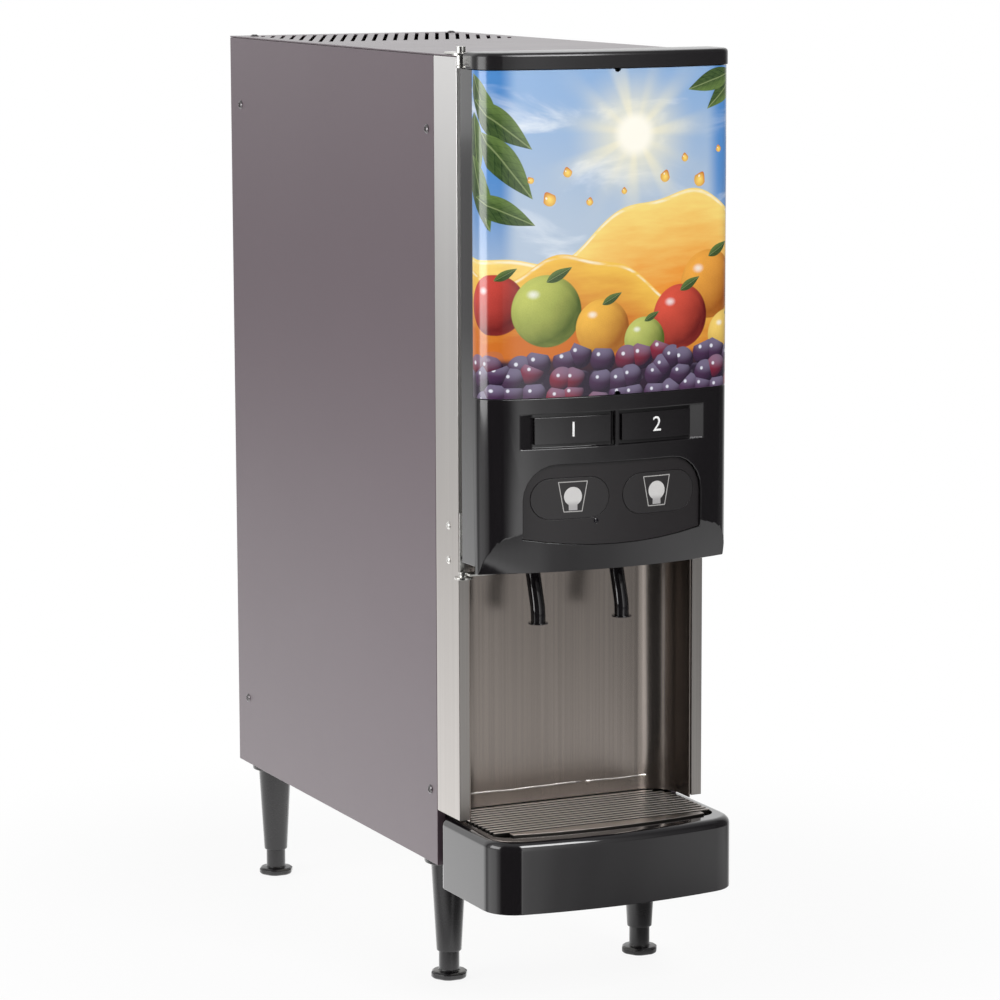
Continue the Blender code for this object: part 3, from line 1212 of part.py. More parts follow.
def drip_tray():
    """Broad-rimmed basin with a skirt round it, tucked under the splash panel at the rear."""
    tray = soft_topped("drip_tray", tray_plan(0, TRAY_REAR_Y), TRAY_BOTTOM_Z, TRAY_RIM_Z,
                       TRAY_RIM_ROUND, steps=5)
    join(tray, box("tray_tuck", (-TRAY_TUCK_HALF, TRAY_REAR_Y - TRAY_WALL, TRAY_UNDER_Z),
                   (TRAY_TUCK_HALF, TRAY_TUCK_Y, TRAY_RIM_Z)))
    wall_y = TRAY_TUCK_Y - TRAY_WALL
    mouth = outline_solid("tray_mouth", mouth_plan(0, wall_y), LEDGE_Z, TRAY_RIM_Z + OVERRUN)
    basin = outline_solid("tray_basin", mouth_plan(-TRAY_LEDGE, wall_y - TRAY_LEDGE),
                          TRAY_FLOOR_Z, LEDGE_Z + OVERRUN)
    under = outline_solid("tray_under", tray_plan(TRAY_WALL, TRAY_REAR_Y + OVERRUN),
                          TRAY_BOTTOM_Z - OVERRUN, TRAY_UNDER_Z)
    cavity = outline_solid("tray_rim_cavity", tray_plan(TRAY_WALL, TRAY_REAR_Y - TRAY_WALL),
                           TRAY_UNDER_Z - OVERRUN, TRAY_RIM_Z - TRAY_RIM_ROUND - TRAY_WALL)
    cut(cavity, outline_solid("tray_cavity_core", mouth_plan(0, TRAY_REAR_Y),
                              TRAY_UNDER_Z - 2 * OVERRUN, TRAY_RIM_Z))
    cut(tray, mouth, basin, under, cavity)
    keep(tray, black_gloss())


def drip_grille():
    """Flat bars along X with free ends, a broad front band and cross wires under them."""
    front = bowed_outline(GRILLE_HALF, GRILLE_REAR_Y - GRILLE_REAR_CORNER, GRILLE_FRONT_Y,
                          GRILLE_BOW, GRILLE_CORNER, corner_steps=3)
    corner_x = GRILLE_HALF - GRILLE_REAR_CORNER
    corner_y = GRILLE_REAR_Y - GRILLE_REAR_CORNER
    rear = (arc(-corner_x, corner_y, GRILLE_REAR_CORNER, 180, 90, 6)[1:]
            + arc(corner_x, corner_y, GRILLE_REAR_CORNER, 90, 0, 6)[:-1])
    grille = outline_solid("drip_grille", front + rear, GRILLE_LOW_Z, GRILLE_TOP_Z)
    reach_x = GRILLE_HALF + OVERRUN
    low_z, high_z = GRILLE_LOW_Z - OVERRUN, GRILLE_TOP_Z + OVERRUN
    first_y = GRILLE_REAR_Y - GRILLE_REAR_BAND
    gap = GRILLE_BAR_PITCH - GRILLE_BAR_WIDTH
    gaps = []
    for i in range(GRILLE_GAP_COUNT):
        rear_y = first_y - i * GRILLE_BAR_PITCH
        gaps.append(((-reach_x, rear_y - gap, low_z), (reach_x, rear_y, high_z)))
    band_y = first_y - (GRILLE_GAP_COUNT - 1) * GRILLE_BAR_PITCH - gap
    notch_x = GRILLE_HALF - GRILLE_NOTCH
    corners = [((-reach_x, GRILLE_FRONT_Y - OVERRUN, low_z), (-notch_x, band_y + gap / 2, high_z)),
               ((notch_x, GRILLE_FRONT_Y - OVERRUN, low_z), (reach_x, band_y + gap / 2, high_z))]
    cut(grille, boxes("grille_gaps", gaps), boxes("grille_corners", corners))
    for i, x in enumerate((-GRILLE_WIRE_X, 0, GRILLE_WIRE_X)):
        join(grille, box("grille_wire_" + str(i),
                         (x - GRILLE_WIRE / 2, band_y - GRILLE_BAR_WIDTH, GRILLE_LOW_Z),
                         (x + GRILLE_WIRE / 2, GRILLE_REAR_Y - GRILLE_REAR_BAND / 2,
                          GRILLE_LOW_Z + GRILLE_WIRE)))
    keep(grille, stainless())


# Door shell: fascia with its side stiles, hollow from the rear
DOOR_WALL = 0.003
FASCIA_FRONT_WALL = 0.009
FASCIA_FLOOR = 0.003
FASCIA_LEDGE = 0.003
FASCIA_SIDE_Z = 0.388        # underside behind the chin
CHIN_DEPTH = 0.034           # depth of the lower lip, from the door's front
CHIN_CREASE_Z = 0.420
CHIN_BOW_HALF = 0.070        # past this the chin is flatter than the door
CHIN_END_SLOPE_SHARE = 0.05
CHIN_LEAN_SHARE = 0.24       # how far the chin leans in for each unit of height
CHIN_CORNER_LEAN_SHARE = 0.25
CHIN_STEPS = 32
GRAPHIC_EDGE = 0.0235        # side stile from the door's rear to the picture's edge
INNER_PANEL_DEPTH = 0.018
LABEL_HALF = 0.0875
LABEL_LOW_Z = 0.4895
LABEL_HIGH_Z = 0.519
LABEL_DIVIDER = 0.0036
LABEL_RECESS = 0.005
LABEL_CHEEK = 0.0125
PLATE_THICKNESS = 0.0025
PLATE_INSET_OUTER = 0.0135
PLATE_INSET_INNER = 0.0035
PLATE_INSET_Z = 0.0032
CONTROL_HALF = 0.0845
CONTROL_TOP_Z = 0.4755
CONTROL_SIDE_LOW_Z = 0.4125
CONTROL_MIDDLE_LOW_Z = 0.4045
CONTROL_CORNER = 0.030
CONTROL_RECESS = 0.003
CONTROL_SHEET = 0.0035
BUTTON_HALF = 0.0355
BUTTON_HALF_HEIGHT = 0.0175
BUTTON_X = 0.042
BUTTON_Z = 0.446
BUTTON_DEPTH = 0.005
BUTTON_PROUD = 0.0003
BUTTON_STEM = 0.008
BUTTON_TRAVEL = 0.0012
BUTTON_BOARD_SHEET = 0.0016
BUTTON_BOARD_GAP = 0.0018
SENSOR_RADIUS = 0.0022
SENSOR_X = -0.0185
SENSOR_Z = 0.4253
NOTCH_RADIUS = 0.003
GRAPHIC_SHEET = 0.0025
INNER_FACE_Y = DOOR_REAR_Y - INNER_PANEL_DEPTH
STILE_FRONT_Y = DOOR_REAR_Y - GRAPHIC_EDGE
LEDGE_LOW_Z = GRAPHIC_LOW_Z - FASCIA_LEDGE


def door_plan(inset, rear_y, front_inset=None):
    front = inset if front_inset is None else front_inset
    return bowed_outline(HALF_WIDTH - inset, rear_y, DOOR_FRONT_Y + front,
                         DOOR_BOW_RADIUS - front, DOOR_CORNER - inset)


def control_outline(shrink):
    """Front view of the control recess: large upper corners and a sagging lower edge."""
    half = CONTROL_HALF - shrink
    top = CONTROL_TOP_Z - shrink
    side_low = CONTROL_SIDE_LOW_Z + shrink
    middle_low = CONTROL_MIDDLE_LOW_Z + shrink
    corner = CONTROL_CORNER - shrink
    sag = side_low - middle_low
    radius = (half ** 2 + sag ** 2) / (2 * sag)
    spread = math.degrees(math.asin(half / radius))
    lower = arc(0, middle_low + radius, radius, 270 - spread, 270 + spread, 8)
    return [*lower, *arc(half - corner, top - corner, corner, 0, 90, 6),
            *arc(-half + corner, top - corner, corner, 90, 180, 6)]


def button_outline(sign, grow):
    half_height = BUTTON_HALF_HEIGHT + grow
    return rounded_rectangle(sign * BUTTON_X, BUTTON_Z, BUTTON_HALF + grow, half_height,
                             half_height, steps=5)


def chin_y(x):
    """Crease line of the chin: the door's bow, with less and less slope past the middle."""
    half = CHIN_BOW_HALF
    if abs(x) <= half:
        return bow_y(x, DOOR_FRONT_Y, DOOR_BOW_RADIUS)
    slope = half / math.sqrt(DOOR_BOW_RADIUS ** 2 - half ** 2)
    past = abs(x) - half
    easing = (CHIN_END_SLOPE_SHARE - slope) / (HALF_WIDTH - half)
    return bow_y(half, DOOR_FRONT_Y, DOOR_BOW_RADIUS) + slope * past + easing * past ** 2 / 2


def chin_cutter(setback=0):
    """Block in front of the door whose rear face leans in, and more so at the corners."""
    reach = HALF_WIDTH + OVERRUN
    far_y = DOOR_FRONT_Y - DOOR_DEPTH
    line = [reach - 2 * reach * i / CHIN_STEPS for i in range(CHIN_STEPS + 1)]
    plan = [*((x, chin_y(x)) for x in line), (-reach, far_y), (reach, far_y)]
    block = outline_solid("chin_cutter", plan, DOOR_BOTTOM_Z - OVERRUN, CHIN_CREASE_Z + OVERRUN)
    for vertex in block.data.vertices:
        if vertex.co.y > far_y + OVERRUN:
            corner = (vertex.co.x / HALF_WIDTH) ** 4
            lean = CHIN_LEAN_SHARE + CHIN_CORNER_LEAN_SHARE * corner
            vertex.co.y += lean * (CHIN_CREASE_Z - block.location.z - vertex.co.z)
    work = bmesh.new()
    work.from_mesh(block.data)
    bmesh.ops.triangulate(work, faces=work.faces)
    work.to_mesh(block.data)
    work.free()
    block.location.y += setback
    return block


def front_arc(start_x, end_x, depth, steps=6):
    """Points on the arc that lies a depth behind the door's bowed front."""
    xs = [start_x + (end_x - start_x) * i / steps for i in range(steps + 1)]
    return [(x, bow_y(x, DOOR_FRONT_Y + depth, DOOR_BOW_RADIUS - depth)) for x in xs]


def label_recess(sign):
    """Plan of one label recess, with a sloping cheek at its outer end."""
    inner = sign * LABEL_DIVIDER / 2
    outer = sign * LABEL_HALF
    floor = front_arc(inner, sign * (LABEL_HALF - LABEL_CHEEK), LABEL_RECESS)
    mouth = (outer, bow_y(outer, DOOR_FRONT_Y, DOOR_BOW_RADIUS))
    front_y = DOOR_FRONT_Y - OVERRUN
    points = [(inner, front_y), *floor, mouth, (outer, front_y)]
    side = "right" if sign > 0 else "left"
    return outline_solid("label_recess_" + side, points, LABEL_LOW_Z, LABEL_HIGH_Z)


def door_fascia(hinge):
    shell = outline_solid("door_fascia", door_plan(0, DOOR_REAR_Y), DOOR_BOTTOM_Z, STILE_TOP_Z)
    inner_half = HALF_WIDTH - DOOR_WALL
    floor_z = FASCIA_SIDE_Z + FASCIA_FLOOR
    rear_space = box("fascia_rear_space", (-inner_half, INNER_FACE_Y - CLEAR, floor_z),
                     (inner_half, DOOR_REAR_Y + OVERRUN, STILE_TOP_Z + OVERRUN))
    pocket = outline_solid(
        "fascia_pocket", door_plan(DOOR_WALL, INNER_FACE_Y, FASCIA_FRONT_WALL),
        floor_z, LEDGE_LOW_Z)
    cut(pocket, chin_cutter(DOOR_WALL))
    upper = box("fascia_upper_space", (-inner_half, DOOR_FRONT_Y - OVERRUN, GRAPHIC_LOW_Z),
                (inner_half, INNER_FACE_Y + OVERRUN, STILE_TOP_Z + OVERRUN))
    picture = box("fascia_picture_space",
                  (-HALF_WIDTH - OVERRUN, DOOR_FRONT_Y - OVERRUN, GRAPHIC_LOW_Z),
                  (HALF_WIDTH + OVERRUN, STILE_FRONT_Y, STILE_TOP_Z + OVERRUN))
    step = box("fascia_step",
               (-HALF_WIDTH - OVERRUN, DOOR_FRONT_Y + CHIN_DEPTH, DOOR_BOTTOM_Z - OVERRUN),
               (HALF_WIDTH + OVERRUN, DOOR_REAR_Y + OVERRUN, FASCIA_SIDE_Z))
    window = outline_solid("control_window", control_outline(0), DOOR_FRONT_Y - OVERRUN,
                           DOOR_FRONT_Y + 2 * FASCIA_FRONT_WALL, across="Y")
    cut(shell, rear_space, pocket, upper, picture, step, chin_cutter(), window,
        label_recess(-1), label_recess(1))
    keep(shell, black_gloss(), hinge)


def control_panel(hinge):
    """Bowed plate in the control window, with a hole for each button and a sensor hole."""
    front = DOOR_FRONT_Y + CONTROL_RECESS
    panel = outline_solid("control_panel", control_outline(CLEAR), DOOR_FRONT_Y,
                          DOOR_FRONT_Y + DOOR_DEPTH, across="Y")
    slab = outline_solid("control_slab",
                         bowed_strip(HALF_WIDTH, front, front + CONTROL_SHEET, DOOR_BOW_RADIUS),
                         CONTROL_MIDDLE_LOW_Z - OVERRUN, CONTROL_TOP_Z + OVERRUN)
    combine(panel, slab, "INTERSECT")
    for side, sign in SIDES.items():
        cut(panel, outline_solid("button_hole_" + side, button_outline(sign, CLEAR),
                                 DOOR_FRONT_Y, DOOR_FRONT_Y + DOOR_DEPTH, across="Y"))
    cut(panel, cylinder("sensor_hole", (SENSOR_X, DOOR_FRONT_Y, SENSOR_Z), DOOR_DEPTH,
                        SENSOR_RADIUS, axis="Y", segments=12))
    keep(panel, black_satin(), hinge)


def buttons(hinge):
    """Two push plates that follow the bow, each with a stem towards its switch."""
    front = DOOR_FRONT_Y + CONTROL_RECESS - BUTTON_PROUD
    for side, sign in SIDES.items():
        button = outline_solid("button_" + side, button_outline(sign, 0), DOOR_FRONT_Y,
                               DOOR_FRONT_Y + DOOR_DEPTH, across="Y")
        slab = outline_solid("button_slab_" + side,
                             bowed_strip(HALF_WIDTH, front, front + BUTTON_DEPTH,
                                         DOOR_BOW_RADIUS),
                             BUTTON_Z - 2 * BUTTON_HALF_HEIGHT, BUTTON_Z + 2 * BUTTON_HALF_HEIGHT)
        combine(button, slab, "INTERSECT")
        join(button, cylinder("button_stem_" + side,
                              (sign * BUTTON_X, front + BUTTON_DEPTH / 2, BUTTON_Z),
                              button_board_y() - BUTTON_TRAVEL - CLEAR - front - BUTTON_DEPTH / 2,
                              BUTTON_STEM / 2, axis="Y", segments=12))
        keep(button, black_satin(), hinge)


def button_board_y():
    """Front face of the switch board, whose ends clear the fascia's bowed wall."""
    wall_y = bow_y(BUTTON_X + BUTTON_HALF, DOOR_FRONT_Y + FASCIA_FRONT_WALL,
                   DOOR_BOW_RADIUS - FASCIA_FRONT_WALL)
    return wall_y + BUTTON_BOARD_GAP


def button_board(hinge):
    reach = BUTTON_X + BUTTON_HALF
    y = button_board_y()
    board = box("button_board", (-reach, y, BUTTON_Z - BUTTON_HALF_HEIGHT),
                (reach, y + BUTTON_BOARD_SHEET, BUTTON_Z + BUTTON_HALF_HEIGHT))
    for side, sign in SIDES.items():
        for row, z_sign in (("low", -1), ("high", 1)):
            z = BUTTON_Z + z_sign * (BUTTON_HALF_HEIGHT - BUTTON_STEM)
            join(board, cylinder(
                "board_post_" + side + "_" + row,
                (sign * (reach - BUTTON_STEM), y + BUTTON_BOARD_SHEET / 2, z),
                INNER_FACE_Y - CLEAR - y - BUTTON_BOARD_SHEET / 2, BUTTON_STEM / 4, axis="Y",
                segments=8))
    keep(board, finish("circuit_board", (0.03, 0.2, 0.08), 0.5), hinge)


def label_plates(hinge):
    """Two flavour windows that follow the bow and lie on the floor of their recesses."""
    rear = LABEL_RECESS - CLEAR
    for side, sign in SIDES.items():
        inner = sign * (LABEL_DIVIDER / 2 + PLATE_INSET_INNER)
        outer = sign * (LABEL_HALF - PLATE_INSET_OUTER)
        plan = (front_arc(inner, outer, rear - PLATE_THICKNESS)
                + front_arc(outer, inner, rear))
        plate = outline_solid("label_plate_" + side, plan, LABEL_LOW_Z + PLATE_INSET_Z,
                              LABEL_HIGH_Z - PLATE_INSET_Z)
        keep(plate, black_gloss(), hinge)


def graphic_panel(hinge):
    """Curved picture sheet that wraps both front corners, notched at its middle."""
    rear_y = STILE_FRONT_Y - CLEAR
    low_z, high_z = GRAPHIC_LOW_Z + CLEAR, STILE_TOP_Z - CLEAR
    sheet = outline_solid("graphic_panel", door_plan(0, rear_y), low_z, high_z)
    cut(sheet, outline_solid("graphic_hollow", door_plan(GRAPHIC_SHEET, rear_y + OVERRUN),
                             low_z - OVERRUN, high_z + OVERRUN))
    for name, z in (("low", low_z), ("high", high_z)):
        cut(sheet, cylinder("graphic_notch_" + name, (0, DOOR_FRONT_Y - OVERRUN, z),
                            GRAPHIC_SHEET + 2 * OVERRUN, NOTCH_RADIUS, axis="Y", segments=16))
    keep(sheet, finish("picture_sheet", (0.3, 0.5, 0.75), 0.15), hinge)


LIGHT_INSET = 0.018
LIGHT_SHEET = 0.003
LIGHT_STRIP = 0.008
LIGHT_STRIP_DEPTH = 0.003
LIGHT_STRIP_COUNT = 3
LIGHT_HALF = HALF_WIDTH - LIGHT_INSET


def light_board(hinge):
    """Lit back plate of the picture, with upright lamp strips on its front."""
    rear = INNER_FACE_Y - CLEAR
    low_z, high_z = GRAPHIC_LOW_Z + CLEAR, STILE_TOP_Z - CLEAR
    board = box("light_board", (-LIGHT_HALF, rear - LIGHT_SHEET, low_z),
                (LIGHT_HALF, rear, high_z))
    for i in range(LIGHT_STRIP_COUNT):
        x = LIGHT_HALF * (2 * (i + 1) / (LIGHT_STRIP_COUNT + 1) - 1)
        join(board, box("lamp_strip_" + str(i),
                        (x - LIGHT_STRIP / 2, rear - LIGHT_SHEET - LIGHT_STRIP_DEPTH,
                         low_z + LIGHT_STRIP),
                        (x + LIGHT_STRIP / 2, rear - LIGHT_SHEET / 2, high_z - LIGHT_STRIP)))
    keep(board, white_plastic(), hinge)


def door_inner_panel(hinge):
    half = HALF_WIDTH - DOOR_WALL - CLEAR
    panel = box("door_inner_panel",
                (-half, INNER_FACE_Y, FASCIA_SIDE_Z + FASCIA_FLOOR + CLEAR),
                (half, DOOR_REAR_Y, STILE_TOP_Z))
    keep(panel, white_plastic(), hinge)


GASKET_INSET = 0.0075
GASKET_WIDTH = 0.010
GASKET_MARGIN = 0.0038
GASKET_OUTER_HALF = HALF_WIDTH - GASKET_INSET


def door_gasket(hinge):
    """Soft ring between the door and the front frame, round the cold opening."""
    low_z = COLD_OPENING_LOW_Z - GASKET_MARGIN
    high_z = COLD_OPENING_HIGH_Z + GASKET_MARGIN
    front, rear = DOOR_REAR_Y + CLEAR, FRAME_FRONT_Y - CLEAR
    ring = box("door_gasket", (-GASKET_OUTER_HALF, front, low_z), (GASKET_OUTER_HALF, rear, high_z))
    cut(ring, box("gasket_hollow",
                  (-GASKET_OUTER_HALF + GASKET_WIDTH, front - OVERRUN, low_z + GASKET_WIDTH),
                  (GASKET_OUTER_HALF - GASKET_WIDTH, rear + OVERRUN, high_z - GASKET_WIDTH)))
    keep(ring, finish("gasket_rubber", (0.1, 0.1, 0.1), 0.7), hinge)


# Hinge: fixed brackets with their pins, and the leaves that turn on them
HINGE_EAR = 0.008
LEAF_EAR = 0.0042
HINGE_PLATE = 0.002
HINGE_PIN = 0.0022
PIN_HEAD = 0.004
PIN_HEAD_HEIGHT = 0.0055
UPPER_ARM_LENGTH = 0.034
UPPER_ARM_WIDTH = 0.016
SPACER_RADIUS = 0.004
LOWER_PLATE_Z = 0.3735
LOWER_LEAF_GAP = 0.002
BRACKET_LEG_HEIGHT = 0.056
BRACKET_LEG_WIDTH = 0.005
LEAF_TONGUE = 0.040
LEAF_TONGUE_DEPTH = 0.013
LEAF_RISER_START = 0.010
CAP_NOTCH = 0.0095
LEAF_Z = STILE_TOP_Z + CLEAR
LOWER_LEAF_Z = LOWER_PLATE_Z + HINGE_PLATE + LOWER_LEAF_GAP


def upper_hinge_bracket():
    """Plate on the cabinet's top whose round ear carries the pin down into the door."""
    low_z = CABINET_TOP_Z + CLEAR
    right_x = HINGE_X + UPPER_ARM_WIDTH - HINGE_EAR
    end_y = HINGE_Y + UPPER_ARM_LENGTH
    ear = arc(HINGE_X, HINGE_Y, HINGE_EAR, 180, 360, 10)
    plan = [*ear, (right_x, end_y), (HINGE_X, end_y), (HINGE_X, HINGE_Y + HINGE_EAR)]
    bracket = outline_solid("upper_hinge_bracket", plan, low_z, low_z + HINGE_PLATE)
    join(bracket,
         cylinder("upper_pin", (HINGE_X, HINGE_Y, LEAF_Z), low_z + HINGE_PLATE / 2 - LEAF_Z,
                  HINGE_PIN, segments=16),
         cylinder("upper_spacer", (HINGE_X, HINGE_Y, LEAF_Z + HINGE_PLATE + CLEAR),
                  low_z + HINGE_PLATE / 2 - LEAF_Z - HINGE_PLATE - CLEAR, SPACER_RADIUS,
                  segments=16),
         cylinder("upper_pin_head", (HINGE_X, HINGE_Y, low_z + HINGE_PLATE / 2),
                  HINGE_PLATE / 2 + PIN_HEAD_HEIGHT, PIN_HEAD, segments=16))
    keep(bracket, zinc())


def lower_hinge_bracket():
    """Angle on the front frame: a leg against its face and an ear under the door."""
    rear_y = FRAME_FRONT_Y - CLEAR
    reach = math.degrees(math.asin((rear_y - HINGE_Y) / HINGE_EAR))
    ear = arc(HINGE_X, HINGE_Y, HINGE_EAR, 180 - reach, 360 + reach, 12)
    bracket = outline_solid("lower_hinge_bracket", ear, LOWER_PLATE_Z,
                            LOWER_PLATE_Z + HINGE_PLATE)
    leg_x = -HALF_WIDTH + HINGE_INSET / 3
    join(bracket,
         box("lower_bracket_leg", (leg_x, rear_y - HINGE_PLATE * 3 / 4, LOWER_PLATE_Z),
             (leg_x + BRACKET_LEG_WIDTH, rear_y, LOWER_PLATE_Z + BRACKET_LEG_HEIGHT)),
         cylinder("lower_pin", (HINGE_X, HINGE_Y, LOWER_PLATE_Z + HINGE_PLATE / 2),
                  HINGE_PLATE / 2 + LOWER_LEAF_GAP + HINGE_PLATE, HINGE_PIN, segments=16),
         cylinder("lower_washer", (HINGE_X, HINGE_Y, LOWER_PLATE_Z + HINGE_PLATE / 2),
                  HINGE_PLATE / 2 + LOWER_LEAF_GAP - CLEAR, SPACER_RADIUS, segments=16))
    keep(bracket, zinc())


def leaf_plan():
    front_y = DOOR_REAR_Y - LEAF_TONGUE_DEPTH
    ear = arc(HINGE_X, HINGE_Y, LEAF_EAR, 0, 270, 12)
    return [*ear, (HINGE_X, front_y), (HINGE_X + LEAF_TONGUE, front_y),
            (HINGE_X + LEAF_TONGUE, DOOR_REAR_Y - CLEAR), (HINGE_X + LEAF_EAR, DOOR_REAR_Y - CLEAR)]


def door_hinge_leaves(hinge):
    """Leaf on the door's top and leaf under it, each bored for its pin."""
    for side, z in (("upper", LEAF_Z), ("lower", LOWER_LEAF_Z)):
        leaf = outline_solid(side + "_hinge_leaf", leaf_plan(), z, z + HINGE_PLATE)
        if side == "lower":
            join(leaf, box("lower_leaf_riser",
                           (HINGE_X + LEAF_RISER_START, DOOR_REAR_Y - LEAF_TONGUE_DEPTH, z),
                           (HINGE_X + LEAF_TONGUE, DOOR_REAR_Y - CLEAR, FASCIA_SIDE_Z - CLEAR)))
        cut(leaf, cylinder("leaf_bore_" + side, (HINGE_X, HINGE_Y, z - OVERRUN),
                           HINGE_PLATE + 2 * OVERRUN, HINGE_PIN + RUNNING, segments=16))
        keep(leaf, zinc(), hinge)


def door_cap(hinge):
    """Rounded top moulding, notched round the hinge and relieved over its leaf."""
    low_z = STILE_TOP_Z + CLEAR
    plan = bowed_outline(HALF_WIDTH + CAP_PROUD, DOOR_REAR_Y, DOOR_FRONT_Y - CAP_PROUD,
                         DOOR_BOW_RADIUS + CAP_PROUD, DOOR_CORNER + CAP_PROUD)
    cap = soft_topped("door_cap", plan, low_z, low_z + CAP_HEIGHT, CAP_ROUND)
    cut(cap,
        cylinder("cap_notch", (HINGE_X, HINGE_Y, low_z - OVERRUN), CAP_HEIGHT + 2 * OVERRUN,
                 CAP_NOTCH),
        box("cap_leaf_pocket",
            (HINGE_X - CAP_NOTCH, DOOR_REAR_Y - LEAF_TONGUE_DEPTH - CLEAR, low_z - OVERRUN),
            (HINGE_X + LEAF_TONGUE + CLEAR, DOOR_REAR_Y + OVERRUN,
             LEAF_Z + HINGE_PLATE + CLEAR)))
    keep(cap, black_gloss(), hinge)


# Screws that hold the lower hinge bracket, through the side of the front frame
SCREW_RADIUS = 0.0036
SCREW_CROWN = 0.0026
SCREW_HEIGHT = 0.0018
HINGE_SCREW_SETBACK = 0.0207
HINGE_SCREW_Z = {"upper": 0.416, "lower": 0.386}


def hinge_screws():
    for name, z in HINGE_SCREW_Z.items():
        head = cylinder("hinge_screw_" + name,
                        (-HALF_WIDTH - CLEAR - SCREW_HEIGHT,
                         FRAME_FRONT_Y + HINGE_SCREW_SETBACK, z),
                        SCREW_HEIGHT, SCREW_CROWN, axis="X", end_radius=SCREW_RADIUS,
                        segments=16)
        keep(shade_round(head), zinc())


def build_cabinet():
    base_pan()
    side_panels()
    top_cover()
    rear_panel()
    front_frame()
    splash_panel()
    hinge_screws()


def build_inside():
    cold_liner()
    foam_jacket()
    container_shelf()
    juice_containers()
    pumps()
    nozzles()
    chill_tank()
    chilling_coil()
    agitator()
    component_shelf()
    compressor()
    condenser()
    fan_shroud()
    fan()
    control_board()
    power_supply()
    power_entry()
    water_valve()


def build_door():
    hinge = pivot("door_hinge_axis", (HINGE_X, HINGE_Y, 0))
    upper_hinge_bracket()
    lower_hinge_bracket()
    for piece in (door_fascia, door_cap, graphic_panel, light_board, door_inner_panel,
                  door_gasket, control_panel, buttons, button_board, label_plates,
                  door_hinge_leaves):
        piece(hinge)


build_cabinet()
build_inside()
build_door()
legs()
drip_tray()
drip_grille()
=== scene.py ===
"""Refrigerated juice dispenser: finishes, fine pieces, light and camera.

Metres, +Z up, the door faces -Y. The origin is on the counter, in the middle of the machine.
"""

import json
import math

import bmesh
import bpy
import numpy as np
from mathutils import Matrix, Vector

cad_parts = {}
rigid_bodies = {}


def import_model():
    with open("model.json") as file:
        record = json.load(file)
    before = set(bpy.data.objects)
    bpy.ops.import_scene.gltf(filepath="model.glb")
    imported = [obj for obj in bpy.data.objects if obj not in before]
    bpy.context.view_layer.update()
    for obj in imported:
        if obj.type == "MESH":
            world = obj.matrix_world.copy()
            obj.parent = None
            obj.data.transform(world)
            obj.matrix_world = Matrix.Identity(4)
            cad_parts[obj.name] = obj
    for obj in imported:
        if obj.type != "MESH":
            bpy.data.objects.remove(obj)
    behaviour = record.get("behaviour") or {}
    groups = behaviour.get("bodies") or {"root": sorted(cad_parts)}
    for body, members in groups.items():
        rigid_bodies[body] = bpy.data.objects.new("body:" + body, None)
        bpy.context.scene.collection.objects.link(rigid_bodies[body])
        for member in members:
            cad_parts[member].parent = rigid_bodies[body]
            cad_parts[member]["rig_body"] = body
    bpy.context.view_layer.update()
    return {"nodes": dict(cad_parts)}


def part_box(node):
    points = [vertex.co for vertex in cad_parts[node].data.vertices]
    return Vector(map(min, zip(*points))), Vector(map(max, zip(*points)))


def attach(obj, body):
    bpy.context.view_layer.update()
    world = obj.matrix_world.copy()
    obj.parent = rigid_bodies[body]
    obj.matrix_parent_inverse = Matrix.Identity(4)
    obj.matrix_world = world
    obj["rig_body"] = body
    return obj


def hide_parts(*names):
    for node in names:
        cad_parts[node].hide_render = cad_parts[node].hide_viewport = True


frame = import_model()
NODES = frame["nodes"]
MERGE = 1e-5
FLAT_ANGLE = math.radians(0.5)
FOLD_ANGLE, SHALLOW_FOLD = math.radians(35), math.radians(17)
SURFACE_FOLD = math.radians(50)
EDGE_STEPS = 2

# Faces of the machine, read from the frame
PANEL_LOW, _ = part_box("left_side_panel")
FRAME_LOW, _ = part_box("front_frame")
FASCIA_LOW, FASCIA_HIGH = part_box("door_fascia")
PICTURE_LOW, PICTURE_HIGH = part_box("graphic_panel")
PLATE_LOW, PLATE_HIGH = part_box("label_plate_right")
BUTTON_LOW, BUTTON_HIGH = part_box("button_right")
TRAY_LOW, TRAY_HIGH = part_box("drip_tray")
_, GRILLE_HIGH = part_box("drip_grille")
_, SPLASH_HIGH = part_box("splash_panel")
DOOR_SWELL, TRAY_SWELL = 0.0165, 0.0128


def bow_radius(half, swell):
    """Radius of an arc that swells by the given length over the given half width."""
    return (half ** 2 + swell ** 2) / (2 * swell)


def bow_y(x, depth):
    """Place in the depth of a bow that lies that much behind the door's front."""
    return DOOR_BOW_Y - math.sqrt((DOOR_BOW_RADIUS - depth) ** 2 - x ** 2)


DOOR_FRONT_Y = FASCIA_LOW.y
DOOR_BOW_RADIUS = bow_radius(FASCIA_HIGH.x, DOOR_SWELL)
DOOR_BOW_Y = DOOR_FRONT_Y + DOOR_BOW_RADIUS
TRAY_BOW_Y = TRAY_LOW.y + bow_radius(TRAY_HIGH.x, TRAY_SWELL)


# Values in node trees

